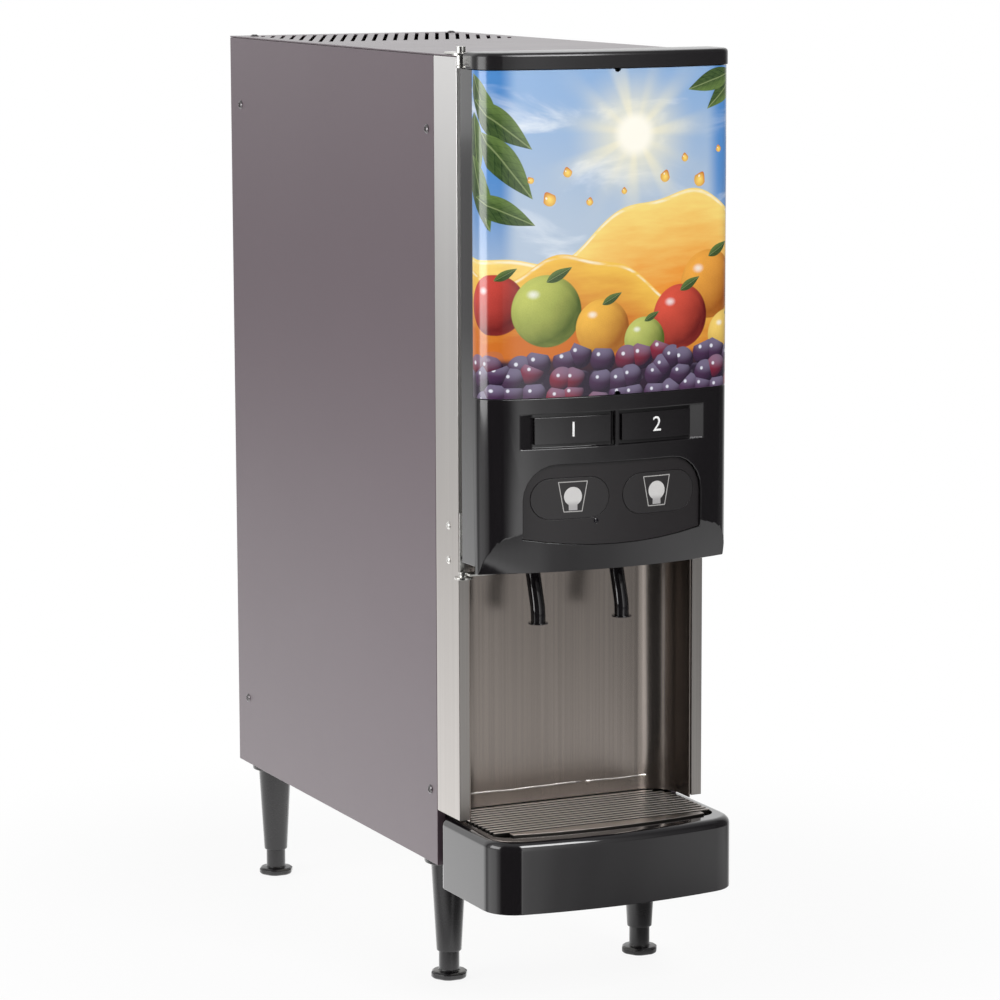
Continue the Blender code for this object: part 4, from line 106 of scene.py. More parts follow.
class Field:
    """Value in a node tree that adds, multiplies and compares as a number does."""

    def __init__(self, tree, socket):
        self.tree, self.socket = tree, socket

    def maths(self, operation, *others):
        node = self.tree.nodes.new("ShaderNodeMath")
        node.operation = operation
        for place, value in enumerate((self, *others)):
            feed(self.tree, node.inputs[place], value)
        return Field(self.tree, node.outputs[0])

    def __add__(self, other):
        return self.maths("ADD", other)

    def __sub__(self, other):
        return self.maths("SUBTRACT", other)

    def __mul__(self, other):
        return self.maths("MULTIPLY", other)

    def __truediv__(self, other):
        return self.maths("DIVIDE", other)

    __radd__, __rmul__ = __add__, __mul__

    def __rsub__(self, other):
        return self * -1 + other

    def __pow__(self, other):
        return self.maths("POWER", other)

    def size(self):
        return self.maths("ABSOLUTE")

    def root(self):
        return self.maths("SQRT")

    def sine(self):
        return self.maths("SINE")

    def cosine(self):
        return self.maths("COSINE")

    def most(self, other):
        return self.maths("MAXIMUM", other)

    def step(self, low, high):
        """0 below low, 1 above high and smooth between; turned round where low is above high."""
        falls = low > high
        node = made(self.tree, "MapRange", Value=self, From_Min=min(low, high),
                    From_Max=max(low, high), To_Min=int(falls), To_Max=int(not falls))
        node.interpolation_type = "SMOOTHSTEP"
        return Field(self.tree, node.outputs["Result"])

    def between(self, low, high):
        """Value spread evenly from low, where this is 0, to high, where it is 1."""
        return self * (high - low) + low


def feed(tree, socket, value):
    """Link a field or socket, or set a plain value."""
    if isinstance(value, Field):
        value = value.socket
    if isinstance(value, bpy.types.NodeSocket):
        tree.links.new(value, socket)
    elif isinstance(value, tuple) and len(value) == 3 and socket.type == "RGBA":
        socket.default_value = (*value, 1)
    else:
        socket.default_value = value


def made(tree, kind, **values):
    """New node of a kind, with some of its inputs linked or set."""
    node = tree.nodes.new("ShaderNode" + kind)
    for label, value in values.items():
        feed(tree, node.inputs[label.replace("_", " ")], value)
    return node


def mixed(tree, share, low, high):
    """Colour that goes from low to high as share goes from 0 to 1."""
    node = tree.nodes.new("ShaderNodeMix")
    node.data_type = "RGBA"
    feed(tree, node.inputs[0], share)
    feed(tree, node.inputs[6], low)
    feed(tree, node.inputs[7], high)
    return node.outputs[2]


def joined(tree, values):
    """Vector of the three values that a function gives.

    The vector's node comes before theirs, because in that order a renderer can hold the
    picture's long chain of values at once.
    """
    node = tree.nodes.new("ShaderNodeCombineXYZ")
    for socket, value in zip(node.inputs, values()):
        feed(tree, socket, value)
    return node.outputs[0]


def parted(tree, vector):
    """Three values of a vector."""
    node = tree.nodes.new("ShaderNodeSeparateXYZ")
    tree.links.new(vector, node.inputs[0])
    return [Field(tree, out) for out in node.outputs]


def light_path(tree, *kinds):
    node = made(tree, "LightPath")
    return [Field(tree, node.outputs["Is " + kind + " Ray"]) for kind in kinds]


def stretched(tree, vector, scale, turn=(0, 0, 0), shift=(0, 0, 0)):
    """Place that is moved, turned and stretched along its axes."""
    return made(tree, "Mapping", Vector=vector, Scale=scale, Rotation=turn,
                Location=shift).outputs[0]


def clouded(tree, vector, scale, detail=2.0, roughness=0.5, distortion=0.0):
    """Soft clouds between 0 and 1."""
    node = made(tree, "TexNoise", Vector=vector, Scale=scale, Detail=detail,
                Roughness=roughness, Distortion=distortion)
    return Field(tree, node.outputs["Fac"])


# Effects that several finishes share

def effect(name, inputs, outputs):
    """Empty node group with named sockets, and the two ends of its tree."""
    group = bpy.data.node_groups.new(name, "ShaderNodeTree")
    for label, kind, value in inputs:
        socket = group.interface.new_socket(label, in_out="INPUT", socket_type=kind)
        if value is not None:
            socket.default_value = value
    for label, kind in outputs:
        group.interface.new_socket(label, in_out="OUTPUT", socket_type=kind)
    return group, group.nodes.new("NodeGroupInput"), group.nodes.new("NodeGroupOutput")


def taken(group, given, *labels):
    """Inputs of a group as values."""
    return [Field(group, given.outputs[label]) for label in labels]


def give(group, result, **values):
    """Send values to the outputs of a group."""
    for label, value in values.items():
        feed(group, result.inputs[label], value)
    return group


def used(tree, group, **values):
    """Outputs, by name, of a group placed in a tree with its own values."""
    node = tree.nodes.new("ShaderNodeGroup")
    node.node_tree = group
    for label, value in values.items():
        feed(tree, node.inputs[label], value)
    return {out.name: Field(tree, out) for out in node.outputs}


VALUE, VECTOR = "NodeSocketFloat", "NodeSocketVector"


def soft_relief():
    """Even, rounded bumps of sprayed paint or moulded plastic."""
    group, given, result = effect(
        "soft_relief", [("Place", VECTOR, None), ("Fineness", VALUE, 600.0)],
        [("Height", VALUE)])
    return give(group, result, Height=clouded(group, given.outputs["Place"],
                                              given.outputs["Fineness"], detail=1.5))


def drawn_grain():
    """Long fine scratches along one direction, and the slow bands that they run in."""
    group, given, result = effect(
        "drawn_grain", [("Place", VECTOR, None), ("Spread", VALUE, 1.0)],
        [("Height", VALUE), ("Band", VALUE)])
    fine = clouded(group, given.outputs["Place"], 1.0, detail=2, roughness=0.5)
    wide = clouded(group, given.outputs["Place"], 0.06, detail=1)
    strength, = taken(group, given, "Spread")
    return give(group, result, Height=fine * 0.8 + wide * 0.2,
                Band=(wide - 0.5) * strength + 0.5)


def handled_film():
    """Soft uneven film that wiping and hands leave, with a few short rubs in it."""
    group, given, result = effect(
        "handled_film", [("Place", VECTOR, None), ("Amount", VALUE, 1.0)], [("Film", VALUE)])
    film = clouded(group, given.outputs["Place"], 9, detail=4, roughness=0.6, distortion=0.4)
    rubs = clouded(group, stretched(group, given.outputs["Place"], (40, 40, 160)), 1, detail=3)
    amount, = taken(group, given, "Amount")
    return give(group, result, Film=(film * 0.7 + rubs * 0.3 - 0.5) * amount)


SOFT_RELIEF, DRAWN_GRAIN, HANDLED_FILM = soft_relief(), drawn_grain(), handled_film()


class Finish:
    """Material with one shader, and the place that its patterns read."""

    def __init__(self, name, colour, roughness, metallic=0.0, slot=None, **sockets):
        self.material = bpy.data.materials.new(name)
        self.material.use_nodes = True
        self.material.diffuse_color = (*colour, 1)
        self.tree = self.material.node_tree
        self.shader = self.tree.nodes["Principled BSDF"]
        self.slot = slot
        self.set("Base Color", colour)
        self.set("Roughness", roughness)
        self.set("Metallic", metallic)
        for label, value in sockets.items():
            self.set(label.replace("_", " "), value)
        coordinates = self.tree.nodes.new("ShaderNodeTexCoord")
        self.place = coordinates.outputs["Object"]

    def set(self, label, value):
        feed(self.tree, self.shader.inputs[label], value)

    def axes(self):
        return parted(self.tree, self.place)

    def use(self, group, place=None, **values):
        return used(self.tree, group, Place=self.place if place is None else place, **values)

    def bump(self, height, depth, strength=1.0):
        node = made(self.tree, "Bump", Strength=strength, Distance=depth, Height=height)
        self.set("Normal", node.outputs[0])

    def mix(self, share, low, high):
        return mixed(self.tree, share, low, high)

    def film(self, roughness, amount=0.12):
        """Roughness that a wiped film varies, never below nothing."""
        film = self.use(HANDLED_FILM, Amount=amount)["Film"]
        self.set("Roughness", (film + roughness).most(0.02))
        return film


def tinted(colour, share):
    return tuple(share * c for c in colour)


def sprayed(name, colour, roughness, slot, depth=0.00002):
    """Powder coat: rounded relief, and a tone that drifts a little over the sheet."""
    look = Finish(name, colour, roughness, slot=slot)
    drift = clouded(look.tree, look.place, 4, detail=2)
    look.set("Base Color", look.mix(drift, tinted(colour, 0.94), tinted(colour, 1.06)))
    look.film(roughness, 0.08)
    look.bump(look.use(SOFT_RELIEF, Fineness=420.0)["Height"], depth)
    return look


def brushed(name, colour, roughness, slot, scale, spread=0.5, depth=0.00001):
    """Sheet metal drawn along one axis; scale is the grain's fineness along each axis."""
    look = Finish(name, colour, roughness, 1.0, slot=slot)
    grain = look.use(DRAWN_GRAIN, place=stretched(look.tree, look.place, scale), Spread=spread)
    look.colour = look.mix(grain["Height"].step(0.25, 0.75), tinted(colour, 0.86), colour)
    look.set("Base Color", look.colour)
    film = look.use(HANDLED_FILM, Amount=0.06)["Film"]
    look.set("Roughness", (grain["Band"] - 0.5) * 0.15 + film + roughness)
    if depth:
        look.bump(grain["Height"], depth)
    return look


def upright_with_painted_highlight():
    """Drawn steel with a painted highlight: its colour turns paler towards its upper end."""
    look = brushed("brushed_upright", (0.43, 0.405, 0.385), 0.30, "stainless", (1100, 1100, 2.5))
    x, y, z = look.axes()
    # painted highlight: the upright's colour turns pale grey towards its top
    look.set("Base Color", look.mix(z.step(0.38, 0.82), look.colour, (0.80, 0.79, 0.78)))
    return look


def bars_with_painted_shade():
    """Steel bars: rolled tops in the steel's colour, and flanks coloured near black as painted
    shade.
    """
    look = brushed("rolled_bars", (0.46, 0.42, 0.39), 0.34, "stainless", (3, 1400, 1400),
                   depth=0)
    x, y, z = look.axes()
    # painted shade: below the bars' tops the steel is coloured near black
    top = z.step(GRILLE_HIGH.z - 0.0008, GRILLE_HIGH.z - 0.0002)
    look.set("Base Color", look.mix(top, (0.06, 0.055, 0.050), look.colour))
    return look


def moulded(name, colour, roughness, slot, relief=0.00002, fineness=900.0, **sockets):
    """Moulded plastic with a fine skin and a wiped film."""
    look = Finish(name, colour, roughness, slot=slot, **sockets)
    film = look.film(roughness, 0.10)
    look.set("Base Color", look.mix((film + 0.5).step(0.3, 0.7), colour, tinted(colour, 1.25)))
    look.bump(look.use(SOFT_RELIEF, Fineness=fineness)["Height"], relief)
    return look


def plated(name, colour, roughness, slot):
    """Zinc or cast metal with a cloudy plate and fine pits."""
    look = Finish(name, colour, roughness, 1.0, slot=slot)
    cloud = clouded(look.tree, look.place, 45, detail=3, roughness=0.55)
    look.set("Base Color", look.mix(cloud, tinted(colour, 0.86), colour))
    look.set("Roughness", cloud * 0.12 + (roughness - 0.06))
    look.bump(look.use(SOFT_RELIEF, Fineness=700.0)["Height"], 0.000008)
    return look


def foamed():
    """Cut rigid foam: small open cells, darker towards each cell's middle as painted shade in its
    hollow.
    """
    look = Finish("rigid_foam", (0.82, 0.74, 0.50), 0.9, slot="foam")
    cells = made(look.tree, "TexVoronoi", Vector=look.place, Scale=420)
    depth = Field(look.tree, cells.outputs["Distance"])
    # painted shade: each cell is darker towards its middle, where the bump sinks
    look.set("Base Color", look.mix(depth, (0.62, 0.54, 0.33), (0.88, 0.80, 0.56)))
    look.bump(depth, 0.0005)
    return look


def board_green():
    """Solder mask with copper tracks under it."""
    look = Finish("solder_mask", (0.03, 0.20, 0.08), 0.3, slot="circuit_board")
    turned = stretched(look.tree, look.place, (1, 1, 1), turn=(math.radians(90), 0, 0))
    brick = made(look.tree, "TexBrick", Vector=turned, Scale=90, Mortar_Size=0.05,
                 Color1=(0.02, 0.16, 0.06), Color2=(0.03, 0.22, 0.09),
                 Mortar=(0.10, 0.36, 0.16))
    look.set("Base Color", brick.outputs["Color"])
    look.bump(Field(look.tree, brick.outputs["Fac"]), 0.00005)
    return look


def finned():
    """Bare aluminium fins pressed close together, drawn as pale stripes with dark bands between
    them as painted shade in the gaps.
    """
    look = Finish("pressed_fins", (0.70, 0.71, 0.72), 0.4, 1.0, slot="fins")
    x, y, z = look.axes()
    # painted shade: the dark bands stand for the shaded gaps between the fins
    comb = (z * 2600).sine().step(-0.6, 0.6)
    look.set("Base Color", look.mix(comb, (0.30, 0.31, 0.32), (0.74, 0.75, 0.76)))
    look.bump(comb, 0.0003)
    return look


# The printed picture: sky, sun, juice waves, leaves, round fruit and drops

SKY_HIGH, SKY_MIDDLE, SKY_LOW = (0.26, 0.43, 0.70), (0.42, 0.54, 0.72), (0.52, 0.60, 0.68)
CORNER_SHADE_BLUE = (0.04, 0.22, 0.58)
PICTURE_CORNER_DEPTH = 0.019
SUN_ACROSS, SUN_UP = 0.016, 0.752
SUN = (0.98, 0.90, 0.62)
GOLD, ORANGE, AMBER = (0.92, 0.56, 0.08), (0.86, 0.30, 0.03), (0.62, 0.16, 0.015)
LEAF_DARK, LEAF_LIGHT, LEAF_RIB = (0.014, 0.040, 0.012), (0.15, 0.24, 0.06), (0.34, 0.42, 0.18)
PLUM_DARK, PLUM_LIGHT, PLUM_BLOOM = (0.018, 0.008, 0.026), (0.12, 0.045, 0.13), (0.26, 0.24, 0.36)


def spot_of(kind):
    """Group whose pattern lies round a middle on the sheet, in shares of its own size."""
    return effect(kind, [("Across", VALUE, 0), ("Up", VALUE, 0), ("Middle", VALUE, 0),
                         ("Height", VALUE, 0), ("Size", VALUE, 1), ("Turn", VALUE, 0)],
                  [("Mask", VALUE), ("Light", VALUE), ("Shine", VALUE)])


def own_axes(group, given):
    """Place relative to the spot's middle, turned and divided by its size."""
    across, up, middle, height, size, turn = taken(
        group, given, "Across", "Up", "Middle", "Height", "Size", "Turn")
    u, v = (across - middle) / size, (up - height) / size
    cosine, sine = turn.cosine(), turn.sine()
    return u * cosine + v * sine, v * cosine - u * sine


def round_fruit():
    """Ball of radius 1 lit from the upper left, with fine pores and a dim bounce from below."""
    group, given, result = spot_of("round_fruit")
    u, v = own_axes(group, given)
    reach = u * u + v * v
    front = (1 - reach).most(0).root()
    skin = joined(group, lambda: (u / (front + 0.35), v / (front + 0.35), 0.0))
    pores, flush = (clouded(group, skin, scale, detail=2) for scale in (26, 1.6))
    lit = (front * 0.52 + v * 0.50 - u * 0.44 + 0.10).most(0)
    bounce = (v * -1 - front * 0.4).most(0) * 0.22
    light = (lit + bounce) * (pores * 0.34 + 0.83) + (flush - 0.5) * 0.30
    shine_u, shine_v = u + 0.38, v - 0.46
    shine = (1 - (shine_u * shine_u * 1.6 + shine_v * shine_v * 3.4) * 11).most(0) ** 2
    return give(group, result, Mask=reach.root().step(1.0, 0.965), Light=light,
                Shine=shine * (pores * 0.5 + 0.6))


def leaf_blade():
    """Blade between two arcs, from -1 to 1 along its rib, with paired veins."""
    group, given, result = spot_of("leaf_blade")
    u, v = own_axes(group, given)
    half = (1 - u * u).most(0) * (u * -0.12 + 0.34)
    inside = (half - v.size()).step(-0.004, 0.012) * (u.size()).step(1.0, 0.99)
    veins = ((u * 1.0 + v.size() * -1.3) * 26).sine().step(0.80, 1.0)
    rib = v.size().step(0.026, 0.008)
    uneven = clouded(group, joined(group, lambda: (u * 3, v * 14, 0.0)), 1.3, detail=3)
    fold = (v / (half + 0.02)).step(-0.2, 0.9)
    light = (fold * 0.55 + uneven * 0.75 - 0.12 - veins * 0.16).most(0)
    return give(group, result, Mask=inside, Light=light, Shine=rib * 0.7)


def juice_drop():
    """Drop that tapers upwards, dark at its rim with a bright window in it."""
    group, given, result = spot_of("juice_drop")
    u, v = own_axes(group, given)
    widened = u * (1 + (v.most(0)) * 0.75)
    reach = (widened * widened + v * v * 0.82).root()
    window_u, window_v = u + 0.32, v - 0.28
    shine = (window_u * window_u * 3 + window_v * window_v * 2).step(0.10, 0.03)
    return give(group, result, Mask=reach.step(1.0, 0.93),
                Light=((1 - reach) * 0.9 + v * -0.25 + 0.2).most(0), Shine=shine)


class Picture:
    """Painting that is laid on layer by layer, over the sheet's width and height."""

    def __init__(self, look, across, up):
        self.look, self.across, self.up = look, across, up
        self.colour = None

    def lay(self, share, colour):
        self.colour = self.look.mix(share, self.colour, colour)

    def spot(self, group, middle, height, size, turn, dark, light, shine=(1, 1, 1), gleam=0.8):
        parts = used(self.look.tree, group, Across=self.across, Up=self.up, Middle=middle,
                     Height=height, Size=size, Turn=math.radians(turn))
        body = self.look.mix(parts["Light"], dark, light)
        body = self.look.mix(parts["Shine"] * gleam, body, shine)
        self.lay(parts["Mask"], body)

    def wave(self, height, swings, slope, deep, dark, light, rim=0.0022):
        """Body of juice under a line, with a bright rim and lighter streaks near the rim."""
        line = self.across * slope + height
        for size, rate, phase in swings:
            line = line + (self.across * rate + phase).sine() * size
        below = line - self.up
        streak = clouded(self.look.tree, self.streaks, 1, detail=3, roughness=0.55)
        body = self.look.mix((below / deep + (streak - 0.5) * 0.7), light, dark)
        self.lay(below.step(-0.0004, 0.0004), body)
        edge = (below - rim).size().step(rim, 0.0)
        self.lay(edge * streak.step(0.35, 0.6) * 0.85, (1.0, 0.93, 0.70))
        return below


def picture_print():
    """Printed sheet that wraps both corners: its width runs on along the door's sides."""
    look = Finish("printed_picture", (0.5, 0.6, 0.7), 0.22, slot="picture_sheet",
                  Coat_Weight=0.6, Coat_Roughness=0.06)
    x, y, z = look.axes()
    across = x + x.maths("SIGN") * (y - (DOOR_FRONT_Y + PICTURE_CORNER_DEPTH)).most(0)
    low, high = PICTURE_LOW.z, PICTURE_HIGH.z
    share = (z - low) / (high - low)
    flat = joined(look.tree, lambda: (across, z, 0.0))
    art = Picture(look, across, z)
    art.streaks = stretched(look.tree, flat, (26, 120, 1), turn=(0, 0, math.radians(-14)))

    art.colour = look.mix(share.step(0.35, 1.0), SKY_LOW, SKY_HIGH)
    art.colour = look.mix(share.step(0.9, 0.2) * 0.6, art.colour, SKY_MIDDLE)
    # painted shade: a deeper blue round both corners, where the glossy sheet reflects nothing
    # bright
    art.lay(across.size().step(0.088, 0.104) * share.step(0.2, 0.7) * 0.85, CORNER_SHADE_BLUE)
    clouds = clouded(look.tree, stretched(look.tree, flat, (9, 24, 1)), 1, detail=5,
                     roughness=0.55, distortion=0.6)
    art.lay(clouds.step(0.50, 0.72) * 0.75, (0.88, 0.92, 0.96))
    sun_u, sun_v = across - SUN_ACROSS, z - SUN_UP
    reach = (sun_u * sun_u + sun_v * sun_v).root()
    turn = sun_v.maths("ARCTAN2", sun_u)
    rays = ((turn * 11).sine() + (turn * 7 + 1.3).sine() * 0.8).step(-0.6, 1.6)
    art.lay(reach.step(0.100, 0.012) * rays * 0.42, SUN)
    art.lay(reach.step(0.066, 0.004) * 0.75, SUN)
    art.lay(reach.step(0.023, 0.011), (1.0, 0.97, 0.86))

    leaf = leaf_blade()
    sprig = ((-0.118, 0.778, 0.030, -62), (-0.103, 0.762, 0.034, -38), (-0.128, 0.742, 0.031, -84),
             (-0.098, 0.728, 0.036, -52), (-0.122, 0.705, 0.034, -70), (-0.101, 0.690, 0.030, -24),
             (0.112, 0.790, 0.030, 220), (0.094, 0.795, 0.026, 196), (0.124, 0.764, 0.030, 250))
    for middle, height, size, turn in sprig:
        art.spot(leaf, middle, height, size, turn, LEAF_DARK, LEAF_LIGHT, LEAF_RIB, 0.8)

    art.wave(0.676, ((0.019, 27, 0.4), (0.005, 71, 1.9)), 0.16, 0.080, ORANGE, (0.96, 0.72, 0.20))
    art.wave(0.634, ((0.015, 34, 2.5), (0.004, 83, 0.3)), -0.12, 0.052, AMBER, GOLD)
    drop = juice_drop()
    drops = ((-0.062, 0.700, 0.0060, 30), (-0.046, 0.722, 0.0042, 14), (-0.026, 0.697, 0.0034, -10),
             (0.046, 0.716, 0.0050, -18), (0.066, 0.731, 0.0036, 8), (0.082, 0.712, 0.0062, -30),
             (0.006, 0.705, 0.0028, 0), (0.102, 0.737, 0.0030, 12), (-0.078, 0.716, 0.0030, 40))
    for middle, height, size, turn in drops:
        art.spot(drop, middle, height, size, turn, AMBER, (0.99, 0.72, 0.16), (1, 0.97, 0.85))

    ball = round_fruit()
    fruit = ((-0.108, 0.612, 0.026, (0.11, 0.004, 0.006), (0.66, 0.07, 0.05)),
             (-0.064, 0.606, 0.031, (0.06, 0.10, 0.008), (0.56, 0.60, 0.13)),
             (0.092, 0.622, 0.030, (0.30, 0.07, 0.004), (0.93, 0.42, 0.06)),
             (0.062, 0.596, 0.028, (0.12, 0.004, 0.004), (0.76, 0.09, 0.05)),
             (-0.014, 0.590, 0.025, (0.32, 0.09, 0.004), (0.95, 0.52, 0.07)),
             (0.026, 0.578, 0.020, (0.07, 0.11, 0.008), (0.58, 0.62, 0.16)),
             (0.112, 0.578, 0.021, (0.34, 0.14, 0.006), (0.94, 0.66, 0.16)))
    for middle, height, size, dark, light in fruit:
        art.spot(ball, middle, height, size, 0, dark, light)
        art.spot(leaf, middle + 0.35 * size, height + 0.98 * size, 0.42 * size, 28, LEAF_DARK,
                 LEAF_LIGHT, LEAF_RIB, 0.8)

    berries(art, flat)
    grain = clouded(look.tree, flat, 2200, detail=1)
    look.set("Base Color", look.mix((grain - 0.5).size() * 0.10, art.colour, (0.5, 0.5, 0.52)))
    look.film(0.22, 0.06)
    look.bump(clouded(look.tree, look.place, 14, detail=1), 0.0004, 0.35)
    return look


def berries(art, flat):
    """Bed of round berries: cells round scattered points that lie under a low line."""
    tree = art.look.tree
    for scale, shift, top, radius in ((52, 0.0, 0.572, 0.62), (58, 0.37, 0.562, 0.66)):
        moved = stretched(tree, flat, (1, 1, 1), shift=(shift, shift, 0))
        cell = made(tree, "TexVoronoi", Vector=moved, Scale=scale, Randomness=0.62)
        cell.voronoi_dimensions = "2D"
        middle_u, middle_v, _ = parted(tree, cell.outputs["Position"])
        u, v = (art.across + shift - middle_u) * scale, (art.up + shift - middle_v) * scale
        reach = (u * u + v * v).root() / radius
        kept = middle_v.step(top + shift + 0.0005, top + shift - 0.0005)
        front = (1 - reach * reach).most(0).root()
        tone = Field(tree, cell.outputs["Color"])
        light = (front * 0.5 + v * 0.7 - u * 0.5).most(0) * (tone * 0.5 + 0.6)
        red = (middle_u * 37 + middle_v * 23).sine().step(0.45, 0.75)
        body = art.look.mix(light, PLUM_DARK, art.look.mix(red, PLUM_LIGHT, (0.42, 0.02, 0.05)))
        body = art.look.mix((v + front * 0.4).step(0.25, 0.75) * 0.55, body, PLUM_BLOOM)
        glint = ((u + 0.20) * (u + 0.20) + (v - 0.22) * (v - 0.22)).step(0.012, 0.002)
        body = art.look.mix(glint * 0.8, body, (0.9, 0.92, 1.0))
        art.lay((art.up.step(top - 0.004, top - 0.010)) * 0.96, PLUM_DARK)
        art.lay(kept * reach.step(1.0, 0.94), body)


# Icons on the push plates

CUP_TOP_HALF, CUP_LOW_HALF, CUP_LINE = 0.0130, 0.0082, 0.00040
CUP_LOW_Z, CUP_HIGH_Z = 0.4345, 0.4600
DISC_RADIUS, DISC_Z, DISC_NECK = 0.0082, 0.4475, 0.0040
PLATE_BLACK, PLATE_SIDE_DEPTH, PRINT_SHIFT = (0.022, 0.020, 0.021), 0.012, 0.0022


def push_plate_finish():
    """Satin plate printed with a cup outline round a light disc on a short neck."""
    look = moulded("push_plate", PLATE_BLACK, 0.36, "black_satin", 0.00001, 1200.0)
    x, y, z = look.axes()
    middle = (BUTTON_LOW.x + BUTTON_HIGH.x) / 2 - PRINT_SHIFT
    u = x.size() - middle
    share = (z - CUP_LOW_Z) / (CUP_HIGH_Z - CUP_LOW_Z)
    half = share.between(CUP_LOW_HALF, CUP_TOP_HALF)
    beyond = u.size() - half
    sides = beyond.size().step(CUP_LINE * 1.25, CUP_LINE * 0.75)
    rise = (share - 0.5).size() - 0.5
    tall = rise.step(CUP_LINE / 0.027, 0.0)
    ends = (rise.size() * (CUP_HIGH_Z - CUP_LOW_Z)).step(CUP_LINE * 1.25, CUP_LINE * 0.75)
    wide = beyond.step(CUP_LINE, 0.0)
    outline = (sides * tall).most(ends * wide)
    disc_v = z - DISC_Z
    disc = (u * u + disc_v * disc_v).root().step(DISC_RADIUS, DISC_RADIUS - 0.0002)
    neck = u.size().step(DISC_NECK, DISC_NECK - 0.0002) * disc_v.step(0.0, -0.002)
    neck = neck * z.step(CUP_LOW_Z + 0.0010, CUP_LOW_Z + 0.0013)
    shade = look.mix(disc_v.step(-0.003, -0.009), (0.62, 0.61, 0.60), (0.40, 0.39, 0.39))
    front = y.step(BUTTON_LOW.y + PLATE_SIDE_DEPTH, BUTTON_LOW.y + PLATE_SIDE_DEPTH - 0.001)
    colour = look.mix(outline * front, PLATE_BLACK, (0.42, 0.41, 0.40))
    look.set("Base Color", look.mix(disc.most(neck) * front, colour, shade))
    return look


FINISHES = {
    "paint": sprayed("warm_grey_paint", (0.104, 0.072, 0.088), 0.30, "grey_paint"),
    "upright": upright_with_painted_highlight(),
    "splash": brushed("brushed_splash", (0.42, 0.37, 0.335), 0.25, "stainless",
                      (700, 700, 1.2), spread=0.7, depth=0.000004),
    "bars": bars_with_painted_shade(),
    # painted highlight: the roll at the splash panel's foot gets a far paler steel than the splash
    # it is pressed from
    "bend": brushed("rolled_bend", (0.74, 0.70, 0.66), 0.24, "stainless", (2, 900, 900),
                    depth=0),
    "zinc": plated("zinc_plate", (0.72, 0.71, 0.68), 0.26, "zinc"),
    "gloss": moulded("gloss_black", (0.008, 0.007, 0.008), 0.09, "black_gloss", 0.000003,
                     260.0, Coat_Weight=0.4, Coat_Roughness=0.05),
    "cap": moulded("cap_black", (0.012, 0.011, 0.012), 0.22, "black_gloss", 0.000004, 260.0),
    "satin": moulded("satin_black", (0.009, 0.008, 0.009), 0.27, "black_satin", 0.00001),
    "panel": moulded("control_black", (0.015, 0.013, 0.014), 0.34, "black_satin", 0.00001),
    "push": push_plate_finish(),
    "white": moulded("white_plastic", (0.74, 0.75, 0.74), 0.38, "white_plastic"),
    "milky": moulded("milky_plastic", (0.78, 0.77, 0.72), 0.40, "milky_plastic",
                     Subsurface_Weight=0.15),
    "foam": foamed(),
    "copper": plated("copper_tube", (0.72, 0.38, 0.24), 0.32, "copper"),
    "brass": plated("cast_brass", (0.70, 0.52, 0.24), 0.34, "brass"),
    "black_metal": sprayed("black_enamel", (0.035, 0.035, 0.038), 0.32, "black_metal"),
    "fins": finned(),
    "board": board_green(),
    "rubber": moulded("seal_rubber", (0.075, 0.075, 0.078), 0.65, "gasket", 0.00005),
    "picture": picture_print(),
    "numeral": moulded("printed_white", (0.80, 0.80, 0.79), 0.45, "white_plastic"),
    "screw_dark": plated("dark_screw", (0.16, 0.15, 0.155), 0.24, "black_metal"),
    "lens": moulded("sensor_lens", (0.006, 0.005, 0.008), 0.06, "black_gloss", 0.000002),
    "shaft": brushed("drawn_shaft", (0.62, 0.60, 0.58), 0.25, "stainless", (900, 900, 40)),
}


def coat(piece, finish):
    piece.data.materials.clear()
    piece.data.materials.append(FINISHES[finish].material)


def settle(piece, body, finish, *nodes):
    """Finish a new piece, put it on its body and let it stand for CAD nodes."""
    coat(piece, finish)
    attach(piece, body)
    if nodes:
        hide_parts(*nodes)
    return piece


def piece_of(name, data):
    piece = bpy.data.objects.new(name, data)
    bpy.context.scene.collection.objects.link(piece)
    return piece


def final_mesh(piece):
    """Mesh of a piece or of text after its modifiers."""
    bpy.context.view_layer.update()
    return bpy.data.meshes.new_from_object(piece.evaluated_get(
        bpy.context.evaluated_depsgraph_get()))


# CAD solids with rounded edges

PERFORATED = ("top_cover", "rear_panel", "drip_grille")
BOWED = {**dict.fromkeys(("door_fascia", "door_cap", "graphic_panel", "control_panel",
                          "button_left", "button_right", "label_plate_left",
                          "label_plate_right"), DOOR_BOW_Y), "drip_tray": TRAY_BOW_Y}
BOW_ANGLE, CHIN_ANGLE = math.radians(5), math.radians(25)
CHIN_CREASE_Z, CHIN_BOW_HALF, CHIN_END_SLOPE = 0.420, 0.070, 0.05
CHIN_LEAN, CHIN_CORNER_LEAN = 0.24, 0.25
CHIN_LOOKS_DOWN, UNDERSIDE_LOOKS_DOWN = -0.12, -0.60


def chin_normal(points):
    """Outward direction of the chin, y = Y(x) + lean(x) (crease - z): it is
    (Y' + lean' (crease - z), -1, -lean), where Y' is the bow's slope in the middle and falls
    evenly to the end slope past that.
    """
    x, z = points[:, 0], points[:, 2]
    share = np.abs(x) / FASCIA_HIGH.x
    edge_slope = CHIN_BOW_HALF / math.sqrt(DOOR_BOW_RADIUS ** 2 - CHIN_BOW_HALF ** 2)
    past = (np.abs(x) - CHIN_BOW_HALF) / (FASCIA_HIGH.x - CHIN_BOW_HALF)
    slope = np.where(past > 0, edge_slope + past * (CHIN_END_SLOPE - edge_slope),
                     np.abs(x) / np.sqrt(DOOR_BOW_RADIUS ** 2 - x ** 2))
    steeper = 4 * CHIN_CORNER_LEAN * share ** 3 / FASCIA_HIGH.x * (CHIN_CREASE_Z - z)
    lean = CHIN_LEAN + CHIN_CORNER_LEAN * share ** 4
    out = np.stack([np.sign(x) * (slope + steeper), -np.ones_like(x), -lean], axis=-1)
    return out / np.linalg.norm(out, axis=1, keepdims=True)


